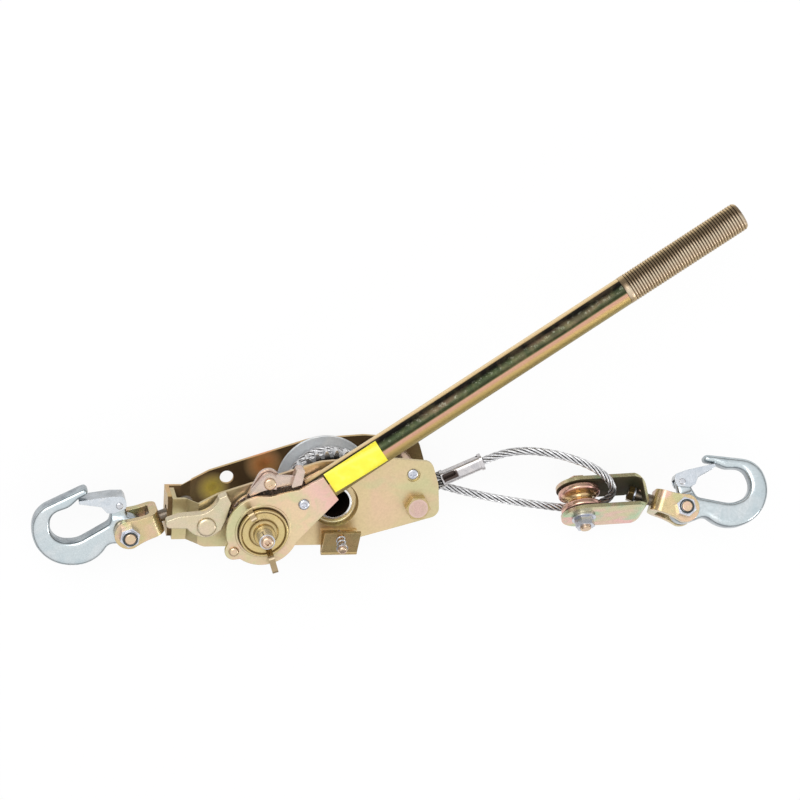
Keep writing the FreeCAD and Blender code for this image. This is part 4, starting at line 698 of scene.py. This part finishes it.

# The small gear's shaft carries the hardened ratchet wheel, darker than the plating.
# A clip on its tail keeps it in the rear plate.
wheel_steel = zinc("wheel_steel", (0.16, 0.12, 0.09), (0.26, 0.17, 0.10), (0.12, 0.11, 0.10),
                   dark=(0.03, 0.02, 0.015), patches=80.0, strength=0.5, spots=0.3, shine=0.30)
eased("pinion_gear", drum_zinc, 0.25)
eased("pinion_shaft", small_steel, 0.3)
eased("shaft_clip", small_steel, 0.15)
eased("ratchet_wheel", wheel_steel, 0.3)

# The winged knob is pressed from sheet and screwed to the shaft's end. Its zinc is gold, with
# painted highlight along the wings' tops and painted shade low down and in the folds.
wheel_axis = winch(-53.706, -12.429, 0)


def knob_reach(tree):
    """The distance of a place from the knob's axis, which the handle turns on too."""
    return axis_reach(tree, centred_on(tree, wheel_axis))


def knob_painted_light(tree):
    """The knob has painted shade low down and a painted highlight along the wings' tops."""
    height = parts_of(tree, centred_on(tree, wheel_axis))[2]
    return ramp(tree, ranged(tree, height, 0.018, 0.032), [
        (0.0, (0.34, 0.24, 0.09)), (0.16, (0.60, 0.46, 0.20)), (0.35, (0.60, 0.46, 0.21)),
        (0.75, (0.50, 0.36, 0.14)), (0.86, (0.84, 0.68, 0.46)), (1.0, (0.84, 0.66, 0.46))])


def knob_shade(tree):
    """Painted shade in the folds: by the rim, at the hub's foot, and the wings' standing sides.
    """
    folds = ramp(tree, ranged(tree, knob_reach(tree), 0.008, 0.018), [
        (0.0, (0.0,) * 3), (0.16, (0.6,) * 3), (0.24, (0.6,) * 3), (0.32, (0.0,) * 3),
        (0.68, (0.0,) * 3), (0.74, (0.62,) * 3), (0.80, (0.62,) * 3), (0.84, (0.0,) * 3),
        (0.91, (0.0,) * 3), (0.95, (0.7,) * 3), (1.0, (0.7,) * 3)])
    return math_of(tree, "MAXIMUM", folds, shaded_sides((0, 0, 1), 0.6)(tree))


knob_zinc = zinc("knob_zinc", (0.68, 0.53, 0.28), (0.74, 0.54, 0.34), (0.60, 0.54, 0.28),
                 dark=(0.20, 0.13, 0.05), patches=60.0, strength=0.25, spots=0.04, shine=0.26,
                 base_from=knob_painted_light, shaded=knob_shade)
eased("wing_knob", knob_zinc, 0.45)
eased("knob_screw", bolt_zinc, 0.2)

# The handle's plates straddle the ratchet wheel, riveted to each other at the neck and the
# ear. The front one shades from tan to salmon pink toward the neck. The drive pawl turns on a
# pin in the ear.
handle_turn = (0, 0, math.radians(35.25))


def on_axes(tree, start, turn):
    """Places on axes that start at a point and are turned."""
    return node(tree, "ShaderNodeMapping",
                {"Vector": spot_on(tree), "Location": start, "Rotation": turn},
                vector_type="TEXTURE").outputs[0]


def handle_tints(tree):
    """The front plate's tints along the handle."""
    along = parts_of(tree, on_axes(tree, wheel_axis, handle_turn))[0]
    return ramp(tree, ranged(tree, along, -0.030, 0.060), [
        (0.0, (0.60, 0.54, 0.32)), (0.45, (0.70, 0.56, 0.34)), (0.66, (0.74, 0.56, 0.36)),
        (0.86, (0.76, 0.50, 0.42)), (1.0, (0.70, 0.44, 0.36))])


def round_the_knob(tree):
    """A mask of a ring of painted shade where the knob sinks into the plate's rim."""
    return ranged(tree, knob_reach(tree), 0.0187, 0.0180, 0.0, 0.85)


head_zinc = zinc("head_zinc", gold, (0.78, 0.46, 0.40), (0.52, 0.56, 0.30), patches=38.0,
                 strength=0.55, spots=0.05, shine=0.32, dark=(0.16, 0.10, 0.045),
                 base_from=handle_tints, shaded=round_the_knob)
ear_zinc = zinc("ear_zinc", (0.62, 0.50, 0.42), (0.70, 0.50, 0.46), (0.50, 0.44, 0.34),
                patches=70.0, strength=0.5, spots=0.15, shine=0.26)
eased("handle_plate_front", head_zinc, 0.4)
eased("handle_plate_rear", ear_zinc, 0.4)
eased("neck_rivet", nut_zinc, 0.2)
eased("ear_rivet", bolt_zinc, 0.25)
eased("drive_pawl", ear_zinc, 0.35)
eased("drive_pawl_pin", bolt_zinc, 0.2)
eased("drive_pawl_washer", small_steel, 0.15)

# The handle is a zinc-plated steel tube, flattened at its lower end between the plates. Its
# stripes are the plating's tint and painted reflection together: green on top, salmon and gold
# below, and above them a dark band of painted reflection.
tube_level = 0.01025


def lean_round(tree, spot, clouds, wander):
    """The angle of a place round the tube's axis, zero on top, with a wandering border."""
    parts = parts_of(tree, spot)
    lean = math_of(tree, "ARCTAN2", parts[1], math_of(tree, "SUBTRACT", parts[2], tube_level))
    return math_of(tree, "ADD", lean,
                   product(tree, math_of(tree, "SUBTRACT", clouds, 0.5), wander))


def tube_tints(tree):
    """The tube's stripes, of tint and painted reflection, with pale flecks of painted highlight
    and faint rust on the green one.
    """
    spot = on_axes(tree, wheel_axis, handle_turn)
    stretched = node(tree, "ShaderNodeMapping", {"Vector": spot, "Scale": (14, 60, 60)})
    drift = noise(tree, stretched.outputs[0], 1.0, 4.0)
    lean = lean_round(tree, spot, drift, 0.12)
    # Stripes round the tube: the plating's tint and painted reflection; the near-black band is
    # painted reflection.
    stripes = ramp(tree, ranged(tree, lean, -math.pi, math.pi), [
        (0.00, (0.50, 0.40, 0.20)), (0.30, (0.26, 0.21, 0.08)), (0.37, (0.36, 0.28, 0.10)),
        (0.44, (0.48, 0.35, 0.12)), (0.474, (0.52, 0.35, 0.14)), (0.492, (0.58, 0.33, 0.21)),
        (0.520, (0.58, 0.32, 0.23)), (0.532, (0.10, 0.11, 0.04)),
        (0.542, (0.022, 0.026, 0.011)), (0.58, (0.036, 0.048, 0.022)),
        (0.62, (0.024, 0.032, 0.014)), (0.642, (0.009, 0.008, 0.006)),
        (0.698, (0.011, 0.008, 0.006)), (0.710, (0.66, 0.47, 0.23)),
        (0.745, (0.86, 0.66, 0.38)), (0.82, (0.78, 0.64, 0.38)), (0.90, (0.54, 0.44, 0.22)),
        (1.0, (0.50, 0.40, 0.20))])
    # Pale flecks on the dark green stripe are painted highlight.
    flecks = noise(tree, spot, 340.0, 3.0, Roughness=0.65)
    green_end = ranged(tree, lean, 0.95, 0.80)
    pale = product(tree, ranged(tree, lean, 0.42, 0.62), green_end,
                   ranged(tree, flecks, 0.54, 0.70, 0.0, 0.45))
    rusty = product(tree, ranged(tree, lean, 0.30, 0.42),
                    ranged(tree, drift, 0.56, 0.66, 0.0, 0.35), green_end)
    stripes = blended(tree, rusty, stripes, (0.22, 0.13, 0.09, 1))
    return blended(tree, pale, stripes, (0.36, 0.37, 0.28, 1))


tube_zinc = zinc("tube_zinc", gold, (0.62, 0.42, 0.24), (0.36, 0.38, 0.14), patches=60.0,
                 strength=0.06, spots=0.1, shine=0.40, base_from=tube_tints)
eased("handle_tube", tube_zinc, 0.2, corner=40.0)

# The sticker is a plain yellow film with a slight gloss, rubbed a little in places. It is
# stuck on the tube's flat.
film, tree, surface = new_finish("yellow_film", 0.0, 0.38, Coat_Weight=0.15, Coat_Roughness=0.25)
rub = noise(tree, spot_on(tree), 160.0, 5.0)
yellow = ramp(tree, rub, [
    (0.30, (0.86, 0.76, 0.035)), (0.55, (0.90, 0.80, 0.045)), (0.78, (0.92, 0.84, 0.10))])
feed(tree, surface, Base_Color=yellow, Roughness=ranged(tree, rub, 0.3, 0.7, 0.30, 0.48))
relief(tree, surface, rub, 0.2, 0.0002)
finished("handle_sticker", film)

# The grip is a zinc-plated sleeve rolled with close ribs: a plain first ring by the tube, the
# ribs all the way up and a closed, nearly flat end. Its grooves carry painted shade, and a
# dark band of painted reflection runs along it as on the tube.
grip_start = 0.303
grip_end = 0.4005
plain_ring = 0.0046
end_band = 0.0016
rib_pitch = 0.002085
rib_count = int((grip_end - end_band - grip_start - plain_ring) / rib_pitch)
first_foot = grip_start + plain_ring
profile = [(grip_start, 0.0099), (grip_start + 0.0004, 0.01032), (first_foot - 0.0004, 0.0104),
           (first_foot, 0.0102)]
for rib in range(rib_count):
    foot = first_foot + rib * rib_pitch
    profile += [(foot + 0.00026, 0.00962), (foot + 0.00062, 0.01034),
                (foot + 0.00117, 0.0105), (foot + 0.00172, 0.01034)]
crown = first_foot + rib_count * rib_pitch
profile += [(crown + 0.0003, 0.00975), (crown + 0.0008, 0.0103), (grip_end - 0.0019, 0.0103),
            (grip_end - 0.0009, 0.0097), (grip_end - 0.0003, 0.0093), (grip_end, 0.0089)]
bpy.ops.object.select_all(action="DESELECT")
bpy.ops.mesh.primitive_circle_add(vertices=56, radius=profile[0][1], fill_type="NOTHING",
                                  location=(0, 0, profile[0][0]))
grip = bpy.context.object
grip.name = "ribbed_grip"
bpy.ops.object.transform_apply(location=True, rotation=True, scale=True)
bpy.ops.object.mode_set(mode="EDIT")
bpy.ops.mesh.select_all(action="SELECT")
for (low, narrow), (high, wide) in zip(profile, profile[1:]):
    bpy.ops.mesh.extrude_region_move(TRANSFORM_OT_translate={"value": (0, 0, high - low)})
    bpy.ops.transform.resize(value=(wide / narrow, wide / narrow, 1),
                             center_override=(0, 0, high))
bpy.ops.mesh.edge_face_add()
bpy.ops.mesh.inset(thickness=0.003)
bpy.ops.mesh.select_all(action="DESELECT")
bpy.ops.object.mode_set(mode="OBJECT")
choose(grip)
# Groove depth, which the grip's painted shade follows; the cap gets a little painted shade.
groove = grip.data.attributes.new("groove", "FLOAT", "POINT")
rib_top, groove_depth, cap, cap_shade = 0.01045, 0.0008, 0.0015, 0.15
for vertex in grip.data.vertices:
    reach = math.hypot(vertex.co.x, vertex.co.y)
    deep = (rib_top - reach) / groove_depth if vertex.co.z < grip_end - cap else cap_shade
    groove.data[vertex.index].value = min(max(deep, 0.0), 1.0)
grip.data.transform(Matrix.Translation(wheel_axis + Vector((0, 0, tube_level)))
                    @ Matrix.Rotation(handle_turn[2], 4, "Z")
                    @ Matrix.Rotation(math.pi / 2, 4, "Y"))
bpy.ops.object.shade_smooth_by_angle(angle=math.radians(60))
rolled, tree, surface = new_finish("rolled_grip", 0.75, 0.32)
spot = on_axes(tree, wheel_axis, handle_turn)
depth = node(tree, "ShaderNodeAttribute", attribute_name="groove").outputs["Fac"]
grip_noise = noise(tree, spot, 70.0, 4.0)
turned = ranged(tree, lean_round(tree, spot, grip_noise, 0.5), -math.pi, math.pi)
# Colours round the grip: the plating's tint, with a dark band of painted reflection.
ridges = ramp(tree, turned, [
    (0.00, (0.50, 0.41, 0.26)), (0.30, (0.34, 0.25, 0.11)), (0.40, (0.54, 0.40, 0.22)),
    (0.47, (0.60, 0.47, 0.33)), (0.54, (0.60, 0.50, 0.36)), (0.575, (0.42, 0.33, 0.23)),
    (0.605, (0.23, 0.165, 0.10)), (0.690, (0.17, 0.12, 0.065)), (0.715, (0.36, 0.26, 0.13)),
    (0.745, (0.64, 0.47, 0.25)), (1.0, (0.50, 0.41, 0.26))])
valleys = ramp(tree, turned, [
    (0.00, (0.14, 0.10, 0.06)), (0.42, (0.26, 0.17, 0.09)), (0.50, (0.26, 0.18, 0.11)),
    (0.545, (0.08, 0.050, 0.028)), (0.60, (0.012, 0.007, 0.004)), (0.70, (0.012, 0.007, 0.004)),
    (0.76, (0.2, 0.13, 0.06)), (1.0, (0.14, 0.10, 0.06))])
# Painted shade down in the grooves, made a little uneven by noise.
groove_shade = ranged(tree, math_of(tree, "ADD", depth, product(tree, grip_noise, 0.2)), 0.25, 0.85)
feed(tree, surface, Base_Color=blended(tree, groove_shade, ridges, valleys),
     Roughness=ranged(tree, groove_shade, 0.0, 1.0, 0.36, 0.6))
relief(tree, surface, noise(tree, spot, 900.0, 2.0), 0.12)
grip.data.materials.append(rolled)
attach(grip, "handle")
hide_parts("handle_grip")


# The ferrule is a sleeve pressed over both legs of the eye and polished by the die. Where the
# rope's dead end goes in, a notch of painted shade is laid on it.
def dead_end_shade(tree):
    """A mask of the notch of painted shade, on the ferrule's own axes."""
    parts = parts_of(tree, on_axes(tree, winch(*anchor_place), (0, 0, ferrule_turn)))
    along = product(tree, ranged(tree, parts[0], 0.0385, 0.0375),
                    ranged(tree, parts[0], 0.0262, 0.0268))
    over = product(tree, ranged(tree, parts[1], -0.0022, -0.0014),
                   ranged(tree, parts[1], 0.0042, 0.0034))
    return product(tree, along, over, ranged(tree, parts[2], 0.0, 0.0008, 0.0, 0.96))


ferrule_metal = zinc("pressed_ferrule", (0.60, 0.58, 0.58), (0.70, 0.64, 0.62),
                     (0.44, 0.43, 0.45), dark=(0.045, 0.028, 0.022), patches=100.0,
                     strength=0.6, spots=0.1, shine=0.26, bump=0.1, shaded=dead_end_shade)
eased("rope_ferrule", ferrule_metal, 0.4)


# Each end has a forged hook with a folded spring latch, in bright bluish zinc. The forging's
# edges are round and its skin a little uneven. It hangs from a bolt in a swivelling clevis.
def forged(node_name, finish):
    """A node's shape with the soft edges and slight unevenness of a forging."""
    piece = merged_copy(node_name, node_name + "_forged")
    piece.data.materials.append(finish)
    choose(piece)
    skin = piece.modifiers.new("skin", "REMESH")
    skin.mode = "VOXEL"
    skin.voxel_size = 0.0006
    skin.use_smooth_shade = True
    bpy.ops.object.modifier_apply(modifier=skin.name)
    soft = piece.modifiers.new("soft", "SMOOTH")
    soft.factor = 0.5
    soft.iterations = 60
    bpy.ops.object.modifier_apply(modifier=soft.name)
    for face in piece.data.polygons:
        face.use_smooth = True


clevis_zinc = zinc("clevis_zinc", (0.60, 0.47, 0.26), (0.72, 0.46, 0.38), (0.50, 0.50, 0.26),
                   patches=48.0, strength=0.8, spots=0.05, shine=0.26)
# The swivels sit inside their brackets; their very dark colour is painted shade.
steel_in_painted_shade = zinc("steel_in_painted_shade", (0.17, 0.14, 0.11), (0.26, 0.18, 0.11), (0.12, 0.12, 0.10),
                   dark=(0.05, 0.04, 0.035), patches=120.0, strength=0.5, spots=0.2, shine=0.36)
for end, outward in (("anchor", (0, 0, 1)), ("pull", (-0.1578, 0.5, 0.8515))):
    # The hooks' and latches' side faces are darkened with painted shade.
    hook_zinc = zinc(
        end + "_hook_zinc", (0.54, 0.60, 0.62), (0.62, 0.65, 0.66), (0.46, 0.54, 0.57),
        dark=(0.17, 0.19, 0.22), patches=40.0, strength=0.6, spots=0.22, shine=0.22, bump=0.12,
        shaded=shaded_sides(outward, 0.8))
    latch_zinc = zinc(
        end + "_latch_zinc", (0.60, 0.64, 0.68), (0.68, 0.69, 0.70), (0.46, 0.51, 0.56),
        dark=(0.30, 0.32, 0.33), patches=80.0, strength=0.6, spots=0.15, shine=0.18,
        shaded=shaded_sides(outward, 0.7))
    forged(end + "_hook", hook_zinc)
    eased(end + "_latch", latch_zinc, 0.35)
    eased(end + "_latch_pin", small_steel, 0.2)
    eased(end + "_clevis", clevis_zinc, 0.45)
    eased(end + "_clevis_bolt", bolt_zinc, 0.3)
    eased(end + "_clevis_nut", nut_zinc, 0.3)
    eased(end + "_swivel", steel_in_painted_shade, 0.2)
eased("pull_swivel_washer", nut_zinc, 0.15)
eased("pull_swivel_nut", knob_zinc, 0.25)

# Each lock nut has a dark nylon ring in its collar, round the bolt's end. The collar is crimped
# over it, so only its flat top shows.
ring_radius = 0.0048
ring_thickness = 0.00062
ring_sunk = 0.0001
nylon, tree, surface = new_finish("lock_ring", 0.0, 0.45)
feed(tree, surface, Base_Color=ramp(tree, noise(tree, spot_on(tree), 600.0, 2.0), [
    (0.3, (0.010, 0.018, 0.020)), (0.7, (0.035, 0.050, 0.055))]))
for end in ("anchor", "pull"):
    ends = [Vector(corner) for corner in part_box(end + "_clevis_nut")]
    head = [Vector(corner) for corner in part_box(end + "_clevis_bolt")]
    along_bolt = ((ends[0] + ends[1]) - (head[0] + head[1])).normalized()
    nut_shape = frame["nodes"][end + "_clevis_nut"].data
    top = max(vertex.co.dot(along_bolt) for vertex in nut_shape.vertices)
    middle = (ends[0] + ends[1]) / 2
    middle += along_bolt * (top - middle.dot(along_bolt) - ring_sunk)
    bpy.ops.object.select_all(action="DESELECT")
    bpy.ops.mesh.primitive_torus_add(major_radius=ring_radius, minor_radius=ring_thickness,
                                     major_segments=40, minor_segments=10)
    ring = bpy.context.object
    ring.name = end + "_lock_ring"
    ring.data.transform(Matrix.Translation(middle)
                        @ along_bolt.to_track_quat("Z", "Y").to_matrix().to_4x4()
                        @ Matrix.Diagonal((1, 1, 0.5, 1)))
    ring.data.materials.append(nylon)
    choose(ring)
    bpy.ops.object.shade_smooth()
    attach(ring, home[end + "_clevis_nut"])


# The pulley block is a bent strap of 3 mm sheet, green and pink in its zinc, round a grooved
# sheave on a bushed axle bolt.
def block_spot(tree):
    """Places on the block's own axes, which start in the middle of the sheave."""
    return on_axes(tree, winch(190.5, -9.8, -24.5), (math.radians(43), 0, math.radians(3)))


def strap_inside(tree):
    """A mask of painted shade on the strap's inner faces, toward the sheave."""
    parts = parts_of(tree, block_spot(tree))
    between = ranged(tree, math_of(tree, "ABSOLUTE", parts[2]), 0.0104, 0.0101)
    return product(tree, between, ranged(tree, parts[0], 0.0470, 0.0462, 0.0, 0.93))


def sheave_tints(tree):
    """Rose on the sheave's rims and gold down in its groove."""
    return ramp(tree, ranged(tree, axis_reach(tree, block_spot(tree)), 0.009, 0.016), [
        (0.0, (0.62, 0.44, 0.18)), (0.35, (0.50, 0.33, 0.14)), (0.62, (0.60, 0.36, 0.22)),
        (0.85, (0.76, 0.42, 0.38)), (1.0, (0.66, 0.42, 0.30))])


strap_zinc = zinc("strap_zinc", (0.60, 0.54, 0.32), (0.78, 0.46, 0.42), (0.40, 0.56, 0.34),
                  dark=(0.034, 0.024, 0.010), patches=32.0, strength=0.95, spots=0.03, shine=0.26,
                  shaded=strap_inside, matt=0.8)
sheave_zinc = zinc("sheave_zinc", (0.68, 0.50, 0.26), (0.74, 0.46, 0.36), (0.60, 0.52, 0.26),
                   patches=60.0, strength=0.3, spots=0.05, shine=0.18, base_from=sheave_tints)
eased("block_bracket", strap_zinc, 0.45)
eased("sheave", sheave_zinc, 0.35)
eased("sheave_bush", small_steel, 0.2)
eased("sheave_axle", bolt_zinc, 0.3)
eased("sheave_axle_washer", nut_zinc, 0.2)
eased("sheave_axle_nut", nut_zinc, 0.3)
